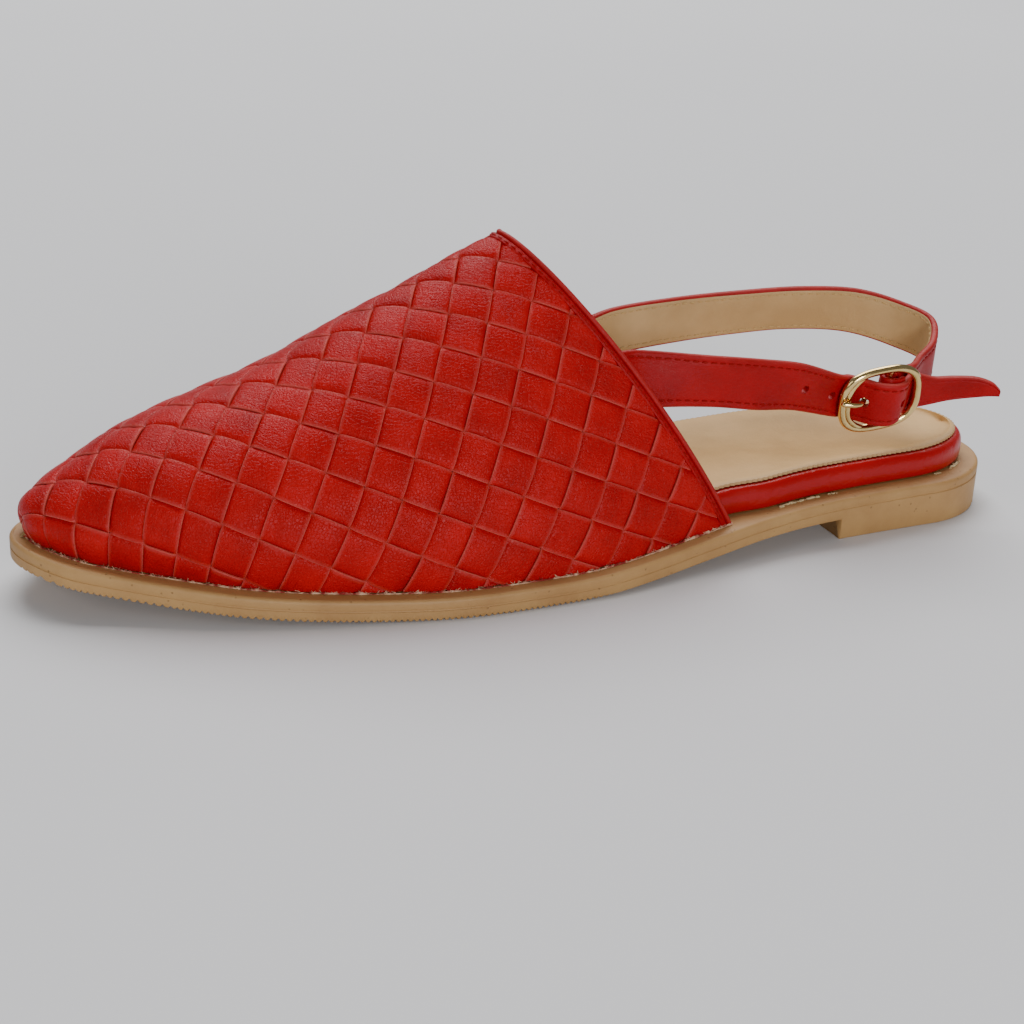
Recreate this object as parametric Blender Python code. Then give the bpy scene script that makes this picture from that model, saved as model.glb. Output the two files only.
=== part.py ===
"""Left woven slingback flat: moulded sole, wrapped footbed, insole, woven vamp, heel strap and buckle.

Metres, +Z up. The shoe stands on z = 0, its toe at -X, its heel at +X and its outer side at -Y.
"""

import bmesh
import bpy
import numpy as np

# Sole
LENGTH = 0.262
BALL_WIDTH = 0.089
WAIST_WIDTH = 0.064
HEEL_WIDTH = 0.059
TOE_SPRING = 0.0090
HEEL_HEIGHT = 0.0054
REAR_RISE = 0.0014
SOLE_THICKNESS = 0.0053
BREAST_SHARE = 0.785
UPPER_BAND = 0.0022
GROOVE = 0.0007
SOLE_ROUND = 0.0009
BLOCK_FOOT = -0.0020

# Footbed and insole
LEDGE = 0.0042
FOOTBED_REAR_INSET = 0.0047
RIM_HEIGHT = 0.0066
RIM_ROLL = 0.0019
FOOTBED_TOE_HEIGHT = 0.0042
HEEL_CUP = 0.0012
INSOLE_THICKNESS = 0.0010
RIM_START = 0.0010
RIM_SPREAD = 0.0160

# Vamp
VAMP_LENGTH = 0.132
INSTEP = 0.0816
VAMP_SLOPE = np.radians(30.0)
TOE_FULLNESS = 2.21
INSTEP_FULLNESS = 1.70
SIDE_BULGE = 0.0029
TOPLINE_BOW = 0.0107
APEX_TO_INNER = 0.0009
FORM_STEP = 0.0010
PATTERN_CLEAR = 0.0015
WALL = 0.0015
STRIP_RISE = 0.0009
BINDING_WIDTH = 0.0031
BINDING_EXTRA = 0.0003

# Weave
CELL_LONG = 0.0120
CELL_WIDE = 0.01355
LONG_PHASE = -0.08
WIDE_PHASE = 0.11
SIDE_PULL = 0.13
TOE_PULL = 0.33
TOE_GATHER = 0.053
PULL_RADIUS = 0.0080
STRIP_SINK = 0.0005
CELL = 0.0091

# Straps
STRAP_WIDTH = 0.0132
STRAP_THICKNESS = 0.0019
STRAP_HEIGHT = 0.0470
FRONT_EXIT = 0.0464
SLING_EXIT = 0.0437
FRONT_CLIMB = -0.01
SLING_CLIMB = 0.05
ANCHOR_LENGTH = 0.0180
HOLE_RADIUS = 0.0011
HOLE_PITCH = 0.0104
TAIL_LENGTH = 0.0330
WALL_STEP = 0.0005

# Buckle
BUCKLE_X = 0.0849
BUCKLE_OUT = 0.0236
BUCKLE_Z = 0.0364
BUCKLE_TURN = np.radians(-3.0)
BUCKLE_LEAN = np.radians(13.0)
FRAME_LENGTH = 0.0234
FRAME_WIDTH = 0.0190
FRAME_WIRE = 0.0021
FRAME_FULLNESS = 4.0
BAR_WIRE = 0.0018
BAR_SHIFT = 0.0012
PRONG_WIRE = 0.0014
PRONG_REACH = 0.0061
FOLD_THICKNESS = 0.0013

GAP = 0.0003

# Half widths of the sole: share of its length, the width that the row follows, outer and inner half as shares.
OUTLINE_COLUMNS = ("along", "follows", "outer", "inner")
OUTLINE = [
    (0.00, "ball", 0.151, 0.157),
    (0.08, "ball", 0.258, 0.270),
    (0.18, "ball", 0.384, 0.393),
    (0.28, "ball", 0.458, 0.468),
    (0.39, "ball", 0.500, 0.500),
    (0.50, "ball", 0.486, 0.438),
    (0.62, "waist", 0.570, 0.500),
    (0.74, "heel", 0.500, 0.500),
    (0.86, "heel", 0.449, 0.500),
    (1.00, "heel", 0.415, 0.449),
]
# The rounding of the outline at both ends, as shares of the length.
TOE_CAP, HEEL_CAP = 0.05, 0.10

# Underside from toe to breast: shares of the toe spring and of the heel height, and the ledge's rear rise.
SIDE_COLUMNS = ("along", "spring", "heel", "rise")
SIDE = [
    (0.00, 1.00, 0.00, 0.00),
    (0.10, 0.52, 0.00, 0.00),
    (0.22, 0.15, 0.00, 0.00),
    (0.36, 0.00, 0.00, 0.00),
    (0.46, 0.00, 0.00, 0.00),
    (0.56, 0.00, 0.28, 0.00),
    (0.70, 0.00, 0.85, 0.00),
    (0.79, 0.00, 1.00, 0.30),
    (1.00, 0.00, 1.00, 1.00),
]

# Ridge of the vamp: share of its length from the toe, height over the feather edge as a share of the instep.
RIDGE_COLUMNS = ("along", "height")
RIDGE = [
    (0.00, 0.000),
    (0.02, 0.112),
    (0.06, 0.179),
    (0.12, 0.260),
    (0.25, 0.417),
    (0.50, 0.614),
    (0.80, 0.869),
    (1.00, 1.000),
    (1.15, 1.053),
]

# Free run of the heel strap from the vamp's inner side round the heel: x as a share of the sole's length,
# height of its middle as a share of the strap height, and y of its upper and lower edge as shares of the
# heel width.
HEEL_RUN_COLUMNS = ("x", "z", "upper_y", "lower_y")
HEEL_RUN = [
    (0.115, 0.952, 0.398, 0.408),
    (0.187, 0.983, 0.410, 0.438),
    (0.260, 1.004, 0.388, 0.452),
    (0.327, 1.022, 0.334, 0.420),
    (0.384, 1.015, 0.252, 0.322),
    (0.421, 0.966, 0.135, 0.163),
    (0.437, 0.920, -0.009, -0.003),
    (0.420, 0.845, -0.150, -0.140),
    (0.391, 0.800, -0.245, -0.245),
]
# Free run of the front strap from the vamp's outer side to the buckle, in the same columns.
FRONT_RUN_COLUMNS = HEEL_RUN_COLUMNS
FRONT_RUN = [
    (0.135, 0.962, -0.418, -0.410),
    (0.180, 0.930, -0.427, -0.429),
    (0.225, 0.890, -0.440, -0.380),
]
# The front strap in the buckle: way from the middle bar to an end bar, height from behind the end bar (0) to
# over the folded strap on the middle bar (1). The strap is cut a little narrower there, and tapers past the bar.
THREAD_COLUMNS = ("away", "over")
THREAD = [
    (1.00, 0.00),
    (0.89, 0.00),
    (0.79, 0.12),
    (0.53, 0.50),
    (0.30, 0.85),
    (0.00, 1.00),
]
THREAD_WIDTH, THREAD_TAPER = 0.93, 0.12
# Free tail past the buckle: share of its length, side step and rise as shares of the strap width, and
# the width there as a share of the strap width.
TAIL_COLUMNS = ("along", "out", "rise", "width")
TAIL = [
    (0.49, -0.15, -0.01, 0.62),
    (0.65, -0.06, 0.07, 0.53),
    (0.82, 0.10, 0.15, 0.44),
    (0.94, 0.24, 0.16, 0.27),
    (1.00, 0.30, 0.11, 0.12),
]
# The prong round its hole: way from the hole towards the middle bar, and out of the frame, both as shares
# of the prong's wire.
PRONG_COLUMNS = ("back", "out")
PRONG = [
    (2.15, -0.18),
    (1.07, -0.50),
    (0.43, -0.30),
    (0.00, 0.25),
    (-0.43, 0.86),
    (-1.21, 1.54),
    (-2.36, 1.82),
]


def column(rows, columns, name):
    """One named column of a table as an array."""
    return np.array([row[columns.index(name)] for row in rows], float)


def monotone(xs, ys, x):
    """Values at x of the smooth curve through the points (xs, ys) that never overshoots them."""
    step = np.diff(xs)
    slope = np.diff(ys) / step
    same = slope[1:] * slope[:-1] > 0
    before, after = 2 * step[1:] + step[:-1], step[1:] + 2 * step[:-1]
    under = np.where(same, before * slope[1:] + after * slope[:-1], 1.0)
    tangent = np.zeros(len(xs))
    tangent[1:-1] = np.where(same, (before + after) * slope[1:] * slope[:-1] / under, 0.0)
    tangent[0], tangent[-1] = slope[0], slope[-1]
    i = np.clip(np.searchsorted(xs, x, side="right") - 1, 0, len(step) - 1)
    t = (x - xs[i]) / step[i]
    start = (2 * t**3 - 3 * t**2 + 1) * ys[i] + (t**3 - 2 * t**2 + t) * tangent[i] * step[i]
    end = (3 * t**2 - 2 * t**3) * ys[i + 1] + (t**3 - t**2) * tangent[i + 1] * step[i]
    return start + end


def smooth_path(points, count):
    """A centripetal Catmull-Rom curve through the points, read at count places even in length."""
    points = np.asarray(points, float)
    ends = np.concatenate([2 * points[:1] - points[1:2], points, 2 * points[-1:] - points[-2:-1]])
    knots = np.concatenate([[0], np.cumsum(np.sqrt(np.linalg.norm(np.diff(ends, axis=0), axis=1)))])
    pieces = []
    for k in range(1, len(ends) - 2):
        t = np.linspace(knots[k], knots[k + 1], 24, endpoint=False)[:, None]
        t0, t1, t2, t3 = knots[k - 1 : k + 3]
        a1 = (t1 - t) / (t1 - t0) * ends[k - 1] + (t - t0) / (t1 - t0) * ends[k]
        a2 = (t2 - t) / (t2 - t1) * ends[k] + (t - t1) / (t2 - t1) * ends[k + 1]
        a3 = (t3 - t) / (t3 - t2) * ends[k + 1] + (t - t2) / (t3 - t2) * ends[k + 2]
        b1 = (t2 - t) / (t2 - t0) * a1 + (t - t0) / (t2 - t0) * a2
        b2 = (t3 - t) / (t3 - t1) * a2 + (t - t1) / (t3 - t1) * a3
        pieces.append((t2 - t) / (t2 - t1) * b1 + (t - t1) / (t2 - t1) * b2)
    fine = np.concatenate(pieces + [points[-1:]])
    run = np.concatenate([[0], np.cumsum(np.linalg.norm(np.diff(fine, axis=0), axis=1))])
    at = np.linspace(0, run[-1], count)
    return np.stack([np.interp(at, run, fine[:, k]) for k in range(fine.shape[1])], axis=1)


def material(name, colour, roughness, metallic=0.0):
    """A Principled material of one colour."""
    made = bpy.data.materials.new(name)
    made.use_nodes = True
    shader = made.node_tree.nodes["Principled BSDF"]
    shader.inputs["Base Color"].default_value = (*colour, 1.0)
    shader.inputs["Roughness"].default_value = roughness
    shader.inputs["Metallic"].default_value = metallic
    return made


def solid(name, points, faces, made_of=None):
    """A mesh object of these points and faces, its normals turned outwards."""
    mesh = bpy.data.meshes.new(name)
    mesh.from_pydata([tuple(p) for p in np.asarray(points, float)], [], [tuple(f) for f in faces])
    work = bmesh.new()
    work.from_mesh(mesh)
    bmesh.ops.remove_doubles(work, verts=work.verts, dist=1e-7)
    bmesh.ops.recalc_face_normals(work, faces=work.faces)
    work.to_mesh(mesh)
    work.free()
    obj = bpy.data.objects.new(name, mesh)
    bpy.context.collection.objects.link(obj)
    if made_of:
        mesh.materials.append(made_of)
        mesh.shade_smooth()
        mesh.set_sharp_from_angle(angle=np.radians(40))
    return obj


def cutter(name, points, faces):
    """A helper solid that is drawn as wire and left out of the part."""
    obj = solid(name, points, faces)
    obj.hide_render = True
    obj.display_type = "WIRE"
    return obj


def boolean(obj, other, operation):
    """Adds an exact Boolean of obj with other."""
    step = obj.modifiers.new(other.name, "BOOLEAN")
    step.operation = operation
    step.object = other
    step.solver = "EXACT"


def ring_faces(rings, size, closed=True):
    """Quads between neighbouring rings of points; each ring is closed on itself unless told not to."""
    last = size if closed else size - 1
    return [
        (r * size + k, r * size + (k + 1) % size, (r + 1) * size + (k + 1) % size, (r + 1) * size + k)
        for r in range(rings - 1)
        for k in range(last)
    ]


def cap_share(along):
    """1 along the outline's middle, falling to 0 at both ends as a quarter ellipse."""
    toe = np.clip(along / TOE_CAP, 0, 1)
    heel = np.clip((1 - along) / HEEL_CAP, 0, 1)
    return np.sqrt(np.maximum(0, 1 - (1 - np.minimum(toe, heel)) ** 2))


def outline(along, inset):
    """x, outer and inner half width of the sole at a share of its length, drawn in by inset."""
    widths = {"ball": BALL_WIDTH, "waist": WAIST_WIDTH, "heel": HEEL_WIDTH}
    follows = np.array([widths[row[OUTLINE_COLUMNS.index("follows")]] for row in OUTLINE])
    rows = column(OUTLINE, OUTLINE_COLUMNS, "along")
    outer = monotone(rows, follows * column(OUTLINE, OUTLINE_COLUMNS, "outer"), along)
    inner = monotone(rows, follows * column(OUTLINE, OUTLINE_COLUMNS, "inner"), along)
    x = (along - 0.5) * (LENGTH - 2 * inset)
    return x, (outer - inset) * cap_share(along), (inner - inset) * cap_share(along)


def side_line(x, shares):
    """A height along the side of the sole: named sizes times their columns of the side table."""
    along = np.clip(x / LENGTH + 0.5, 0, 1)
    heights = sum(size * column(SIDE, SIDE_COLUMNS, name) for name, size in shares)
    return monotone(column(SIDE, SIDE_COLUMNS, "along"), heights, along)


def underside(x):
    """Height of the sole's underside in front of the heel."""
    return side_line(x, (("spring", TOE_SPRING), ("heel", HEEL_HEIGHT)))


def ledge(x):
    """Height of the sole's upper face, which the vamp and the footbed stand on."""
    return underside(x) + SOLE_THICKNESS + side_line(x, (("rise", REAR_RISE),))


def even_shares(count):
    """Shares from 0 to 1, closer together at both ends."""
    return (1 - np.cos(np.linspace(0, np.pi, count))) / 2


def plan_ring(inset, height, count=35):
    """A closed ring round the sole, along its outer side and back along its inner side."""
    along = even_shares(count)
    inset = np.broadcast_to(inset(along) if callable(inset) else inset, along.shape)
    x, outer, inner = outline(along, inset)
    z = height(x)
    there = np.stack([x, -outer, z], axis=1)
    back = np.stack([x, inner, z], axis=1)[-2:0:-1]
    return np.concatenate([there, back])


def stacked(name, rings, bottom, top, made_of, across=1):
    """A solid from rings in plan, one above the other, closed by a bottom and a top face ruled across.

    bottom and top give the height at (x, share across from -1 to 1); across is the count of strips.
    """
    size = len(rings[0])
    points = [p for ring in rings for p in ring]
    faces = ring_faces(len(rings), size)
    half = size // 2
    for ring, height, first in ((rings[0], bottom, 0), (rings[-1], top, (len(rings) - 1) * size)):
        rows = [[first]]
        for k in range(1, half):
            near, far = ring[k], ring[size - k]
            row = [first + k]
            for step in range(1, across):
                spot = near + (far - near) * step / across
                spot[2] = height(spot[0], 2 * step / across - 1)
                row.append(len(points))
                points.append(spot)
            rows.append(row + [first + size - k])
        rows.append([first + half])
        for one, two in zip(rows, rows[1:]):
            if len(one) == 1 or len(two) == 1:
                tip, row = (one[0], two) if len(one) == 1 else (two[0], one)
                faces += [(tip, row[k], row[k + 1]) for k in range(len(row) - 1)]
            else:
                faces += [(one[k], one[k + 1], two[k + 1], two[k]) for k in range(len(one) - 1)]
    return solid(name, points, faces, made_of)


def make_outsole(made_of):
    """The moulded sole: two bands with a groove between them, and an underside cut to spring, waist and heel."""
    rings = [
        plan_ring(0.0, lambda x: 0 * x + BLOCK_FOOT),
        plan_ring(0.0, lambda x: ledge(x) - UPPER_BAND - GROOVE),
        plan_ring(GROOVE, lambda x: ledge(x) - UPPER_BAND - GROOVE / 2),
        plan_ring(0.0, lambda x: ledge(x) - UPPER_BAND),
        plan_ring(0.0, lambda x: ledge(x) - SOLE_ROUND),
        plan_ring(0.3 * SOLE_ROUND, lambda x: ledge(x) - 0.3 * SOLE_ROUND),
        plan_ring(SOLE_ROUND, ledge),
    ]
    sole = stacked("outsole", rings, lambda x, y: BLOCK_FOOT, lambda x, y: ledge(x), made_of)
    breast = (BREAST_SHARE - 0.5) * LENGTH
    beyond = LENGTH / 2 + SOLE_THICKNESS
    xs = np.linspace(-beyond, breast, 40)
    line = [(x, underside(x)) for x in xs] + [(breast, 0.0), (beyond, 0.0)]
    line += [(beyond, 2 * BLOCK_FOOT), (-beyond, 2 * BLOCK_FOOT)]
    count, reach = len(line), BALL_WIDTH
    points = [(x, y, z) for y in (-reach, reach) for x, z in line]
    faces = ring_faces(2, count) + [tuple(range(count)), tuple(range(count, 2 * count))[::-1]]
    boolean(sole, cutter("waist_cut", points, faces), "DIFFERENCE")
    return sole


def vamp_end():
    """x where the topline comes down to the sole."""
    x = np.linspace(-0.2 * LENGTH, 0.4 * LENGTH, 2000)
    run = x * np.cos(VAMP_SLOPE) + (ledge(x) + GAP) * np.sin(VAMP_SLOPE)
    return np.interp(toe_run() + VAMP_LENGTH + TOPLINE_BOW, run, x)


def toe_run():
    """Distance along the vamp's slope at the tip of its feather edge."""
    x = -0.5 * LENGTH + LEDGE
    return x * np.cos(VAMP_SLOPE) + (ledge(x) + GAP) * np.sin(VAMP_SLOPE)


def rim_inset(along):
    """Inset of the footbed: inside the vamp's wall in front, near the sole's edge behind it."""
    x = (along - 0.5) * LENGTH
    inside = LEDGE + STRIP_RISE + WALL + BINDING_EXTRA + 2 * GAP
    t = np.clip((x - vamp_end() - RIM_START) / RIM_SPREAD, 0, 1)
    return inside + (FOOTBED_REAR_INSET - inside) * t * t * (3 - 2 * t)


def rim_height(x):
    """Height of the footbed over the ledge, thinner towards the toe."""
    t = np.clip((vamp_end() - x) / (0.4 * LENGTH), 0, 1)
    return RIM_HEIGHT + (FOOTBED_TOE_HEIGHT - RIM_HEIGHT) * t * t * (3 - 2 * t)


def footbed_top(x, across):
    """Height of the footbed's upper face, cupped under the heel."""
    t = np.clip((x - 0.1 * LENGTH) / (0.2 * LENGTH), 0, 1)
    cup = HEEL_CUP * t * t * (3 - 2 * t) * (1 - across**2)
    return ledge(x) + GAP + rim_height(x) - cup


def make_footbed(made_of):
    """The wrapped board: a straight foot, a rolled rim and a cupped top."""

    def level(share):
        return lambda x: ledge(x) + GAP + share * rim_height(x)

    shape = ((0.35, 0.00), (0.05, 0.12), (0.00, 0.45), (0.18, 0.75), (0.50, 0.92), (1.00, 1.00))
    rings = [plan_ring(lambda s, k=k: rim_inset(s) + k * RIM_ROLL, level(up)) for k, up in shape]
    return stacked("footbed", rings, lambda x, y: ledge(x) + GAP, footbed_top, made_of, across=4)


def make_insole(made_of):
    """The sock that lies on the footbed, just inside its rolled rim."""

    def face(lift):
        return lambda x, across: footbed_top(x, across) + GAP + lift

    def edge(lift):
        return lambda x: footbed_top(x, 1.0) + GAP + lift

    rings = [
        plan_ring(lambda s: rim_inset(s) + RIM_ROLL, edge(lift)) for lift in (0.0, INSOLE_THICKNESS)
    ]
    return stacked("insole", rings, face(0.0), face(INSOLE_THICKNESS), made_of, across=4)


def vamp_section(run_share, turn):
    """Points of the vamp's outer form.

    run_share is the share of the way from toe tip to topline along the slope; turn goes from 0 at the outer
    feather edge over the ridge to pi at the inner one. A section is a superellipse, square to the slope.
    """
    along = even_shares(600)
    x, outer, inner = outline(along, LEDGE)
    z = ledge(x) + GAP
    slope, rise = np.cos(VAMP_SLOPE), np.sin(VAMP_SLOPE)
    edge_run, edge_level = x * slope + z * rise, z * slope - x * rise
    side = np.abs(np.cos(turn))
    length = VAMP_LENGTH + TOPLINE_BOW * side * (1 + side) / 2
    run = edge_run[0] + run_share * length
    share = (run - edge_run[0]) / VAMP_LENGTH
    rows = np.sqrt(column(RIDGE, RIDGE_COLUMNS, "along"))
    height = INSTEP * monotone(rows, column(RIDGE, RIDGE_COLUMNS, "height"), np.sqrt(share))
    power = 2 / (TOE_FULLNESS + (INSTEP_FULLNESS - TOE_FULLNESS) * np.minimum(share, 1))
    half = np.where(np.cos(turn) > 0, np.interp(run, edge_run, outer), np.interp(run, edge_run, inner))
    half = half + SIDE_BULGE * np.minimum(6 * share, 1) * np.sin(2 * np.minimum(turn, np.pi - turn))
    level = np.interp(run, edge_run, edge_level) + height * np.abs(np.sin(turn)) ** power
    y = APEX_TO_INNER * np.sin(turn) ** 2 - np.sign(np.cos(turn)) * half * side**power
    return np.stack([run * slope - level * rise, y, run * rise + level * slope], axis=-1)


def vamp_form(step=FORM_STEP):
    """The vamp's form as a flat pattern: a runs from the topline to the toe, g from the ridge to both sides.

    Both are lengths on the form. Past the feather edge the form goes straight on, so that it can be read there.
    """
    root = np.linspace(0, 1.06, 240)
    turn = np.linspace(0, np.pi, 161)
    points = vamp_section(root[:, None] ** 2, turn[None, :] + 0 * root[:, None])
    mid = len(turn) // 2
    hops = np.linalg.norm(np.diff(points, axis=1), axis=2)
    girth = np.concatenate([np.zeros((len(root), 1)), np.cumsum(hops, axis=1)], axis=1)
    girth -= girth[:, mid : mid + 1]
    reach = np.ceil(np.abs(girth).max() / step) * step + 10 * step
    g = np.arange(-reach, reach + step / 2, step)
    down = np.array([np.sin(VAMP_SLOPE), 0, -np.cos(VAMP_SLOPE)])
    grid = np.empty((len(root), len(g), 3))
    for i, row in enumerate(girth):
        grid[i] = np.stack([np.interp(g, row, points[i, :, k]) for k in range(3)], axis=1)
        past = np.maximum(row[0] - g, 0) + np.maximum(g - row[-1], 0)
        grid[i] += past[:, None] * down
    hops = np.linalg.norm(np.diff(grid, axis=0), axis=2)
    run = np.concatenate([np.zeros((1, len(g))), np.cumsum(hops, axis=0)])
    at_top = np.array([np.interp(1.0, root, run[:, k]) for k in range(len(g))])
    a_rows = at_top - run
    a = np.arange(-5 * step, a_rows.max(), step)
    form = np.empty((len(a), len(g), 3))
    for k in range(len(g)):
        for axis in range(3):
            form[:, k, axis] = np.interp(a, a_rows[::-1, k], grid[::-1, k, axis])
    out = np.cross(np.gradient(form, axis=1), np.gradient(form, axis=0))
    out /= np.maximum(np.linalg.norm(out, axis=2), 1e-12)[..., None]
    edges = []
    for end in (0, -1):
        edges.append((np.array([np.interp(girth[i, end], g, a_rows[i]) for i in range(len(root))]), girth[:, end]))
    return {"a": a, "g": g, "points": form, "out": out, "outer": edges[0], "inner": edges[1]}


def read_form(form, a, g, lift):
    """Points at the pattern places (a, g), lifted off the form, and never under the sole's ledge."""
    i = np.clip((a - form["a"][0]) / (form["a"][1] - form["a"][0]), 0, len(form["a"]) - 1.001)
    j = np.clip((g - form["g"][0]) / (form["g"][1] - form["g"][0]), 0, len(form["g"]) - 1.001)
    low_i, low_j = i.astype(int), j.astype(int)
    u, w = (i - low_i)[..., None], (j - low_j)[..., None]

    def blend(grid):
        near = grid[low_i, low_j] * (1 - w) + grid[low_i, low_j + 1] * w
        far = grid[low_i + 1, low_j] * (1 - w) + grid[low_i + 1, low_j + 1] * w
        return near * (1 - u) + far * u

    out = blend(form["out"])
    out /= np.maximum(np.linalg.norm(out, axis=-1), 1e-12)[..., None]
    spots = blend(form["points"]) + np.asarray(lift)[..., None] * out
    spots[..., 2] = np.maximum(spots[..., 2], ledge(spots[..., 0]) + GAP)
    return spots


def side_pull(g):
    """How far the sheet is drawn back at the sides, for a pull of 1."""
    return np.sqrt(g**2 + PULL_RADIUS**2) - PULL_RADIUS


def to_weave(a, g):
    """Pattern place to weave place: p counts the strips of one set, q those of the other."""
    long = (a - (SIDE_PULL + TOE_PULL * a / VAMP_LENGTH) * side_pull(g)) / CELL_LONG + LONG_PHASE
    wide = g * (1 - TOE_GATHER * a / VAMP_LENGTH) / CELL_WIDE + WIDE_PHASE
    return long + wide, long - wide


def from_weave(p, q):
    """Weave place to pattern place, the inverse of to_weave."""
    long = ((p + q) / 2 - LONG_PHASE) * CELL_LONG
    wide = ((p - q) / 2 - WIDE_PHASE) * CELL_WIDE
    a = long
    for _ in range(20):
        g = wide / (1 - TOE_GATHER * a / VAMP_LENGTH)
        a = (long + SIDE_PULL * side_pull(g)) / (1 - TOE_PULL * side_pull(g) / VAMP_LENGTH)
    return a, g


def vamp_outline(form, trim):
    """The pattern piece: along the outer feather edge to the toe, back along the inner one, and the topline."""
    outer_a, outer_g = form["outer"]
    inner_a, inner_g = form["inner"]
    along = np.concatenate([np.linspace(0, 0.12, 7)[:-1], np.linspace(0.12, 1, 34)]) * (len(outer_a) - 1)
    rows = np.arange(len(outer_a))
    outer = np.stack([np.interp(along, rows, outer_a), np.interp(along, rows, outer_g)], axis=1)
    inner = np.stack([np.interp(along, rows, inner_a), np.interp(along, rows, inner_g)], axis=1)
    ends = [np.interp(-trim, -outer_a, outer_g), np.interp(-trim, -inner_a, inner_g)]
    top = np.stack([np.full(25, trim), np.linspace(ends[0], ends[1], 25)], axis=1)
    outer, inner = outer[outer[:, 0] > trim + PATTERN_CLEAR], inner[1:][inner[1:, 0] > trim + PATTERN_CLEAR]
    return np.concatenate([top, inner[::-1], outer])


def weave_sheet(low, high):
    """A flat woven sheet, CELL a strip: crossing strips take turns to lie on top.

    Seen along its run a strip on top rises, lies level and dives again, and at its long edges it stands
    over the ends of its neighbours. The underside is level, four faces for each cell.
    """
    bends = ((0.0, 0.0), (0.22, 1.0), (0.78, 1.0), (1.0, 0.0))
    points, faces = [], []
    for m in range(low[0], high[0]):
        for n in range(low[1], high[1]):
            along_p = (m + n) % 2 == 1
            first = len(points)
            for run, up in bends:
                for over in (0.0, 0.5, 1.0):
                    p, q = (m + run, n + over) if along_p else (m + over, n + run)
                    points.append((p * CELL, q * CELL, up * STRIP_RISE))
            for k in range(3):
                for side in range(2):
                    i = first + 3 * k + side
                    faces.append((i, i + 1, i + 4, i + 3))
            for side in (0, 2):
                foot = len(points)
                p, q = (m + 0.5, n + side / 2) if along_p else (m + side / 2, n + 0.5)
                points.append((p * CELL, q * CELL, 0.0))
                faces.append((first + side, first + 3 + side, first + 6 + side, first + 9 + side, foot))
    start = len(points)
    wide = 2 * (high[0] - low[0]) + 1
    deep = 2 * (high[1] - low[1]) + 1
    for i in range(wide):
        for j in range(deep):
            points.append(((low[0] + i / 2) * CELL, (low[1] + j / 2) * CELL, -WALL))
            if i and j:
                here = start + i * deep + j
                faces.append((here, here - 1, here - deep - 1, here - deep))
    edge = [(i, 0) for i in range(wide - 1)] + [(wide - 1, j) for j in range(deep - 1)]
    edge += [(i, deep - 1) for i in range(wide - 1, 0, -1)] + [(0, j) for j in range(deep - 1, 0, -1)]
    for one, two in zip(edge, edge[1:] + edge[:1]):
        a, b = start + one[0] * deep + one[1], start + two[0] * deep + two[1]
        above = len(points)
        points += [(*points[a][:2], 0.0), (*points[b][:2], 0.0)]
        faces.append((a, b, above + 1, above))
    return solid("woven_sheet", points, faces)


def make_upper(form, made_of):
    """The vamp: a flat woven sheet, cut out by its pattern and drawn over the form."""
    shape = vamp_outline(form, BINDING_WIDTH + GAP)
    p, q = to_weave(shape[:, 0], shape[:, 1])
    low = (int(np.floor(p.min())) - 1, int(np.floor(q.min())) - 1)
    high = (int(np.ceil(p.max())) + 1, int(np.ceil(q.max())) + 1)
    sheet = weave_sheet(low, high)
    count, reach = len(p), 4 * (WALL + STRIP_RISE)
    points = [(p[k] * CELL, q[k] * CELL, z) for z in (-reach, reach) for k in range(count)]
    faces = ring_faces(2, count) + [tuple(range(count)), tuple(range(count, 2 * count))[::-1]]
    boolean(sheet, cutter("vamp_knife", points, faces), "INTERSECT")
    bpy.context.view_layer.update()
    graph = bpy.context.evaluated_depsgraph_get()
    mesh = bpy.data.meshes.new_from_object(sheet.evaluated_get(graph))
    flat = np.array([v.co for v in mesh.vertices], float)
    a, g = from_weave(flat[:, 0] / CELL, flat[:, 1] / CELL)
    faces = [tuple(face.vertices) for face in mesh.polygons]
    upper = solid("upper", read_form(form, a, g, flat[:, 2] - STRIP_SINK), faces, made_of)
    for helper in (sheet, sheet.modifiers[0].object):
        bpy.data.objects.remove(helper)
    return upper


def rounded_box(width, thickness):
    """Corners of a flat section with its edges taken off: places across and through."""
    w, t = width / 2, thickness / 2
    soft = 0.6 * t
    return [(-w, -t + soft), (-w + soft, -t), (w - soft, -t), (w, -t + soft),
            (w, t - soft), (w - soft, t), (-w + soft, t), (-w, t - soft)]


def make_binding(form, made_of):
    """The folded strip along the topline, from sole to sole."""
    outer_a, outer_g = form["outer"]
    inner_a, inner_g = form["inner"]
    thickness = STRIP_RISE + WALL + 2 * BINDING_EXTRA
    rings = []
    for share in np.linspace(0, 1, 33):
        ring = []
        for across, through in rounded_box(BINDING_WIDTH, thickness):
            a = BINDING_WIDTH / 2 + across
            ends = np.interp(-a, -outer_a, outer_g), np.interp(-a, -inner_a, inner_g)
            g = ends[0] + share * (ends[1] - ends[0])
            ring.append((a, g, through - thickness / 2 + BINDING_EXTRA))
        rings.append(ring)
    flat = np.array(rings)
    points = read_form(form, flat[..., 0], flat[..., 1], flat[..., 2]).reshape(-1, 3)
    size, count = flat.shape[1], len(rings)
    faces = ring_faces(count, size) + [tuple(range(size)), tuple(range((count - 1) * size, count * size))]
    return solid("topline_binding", points, faces, made_of)


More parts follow.
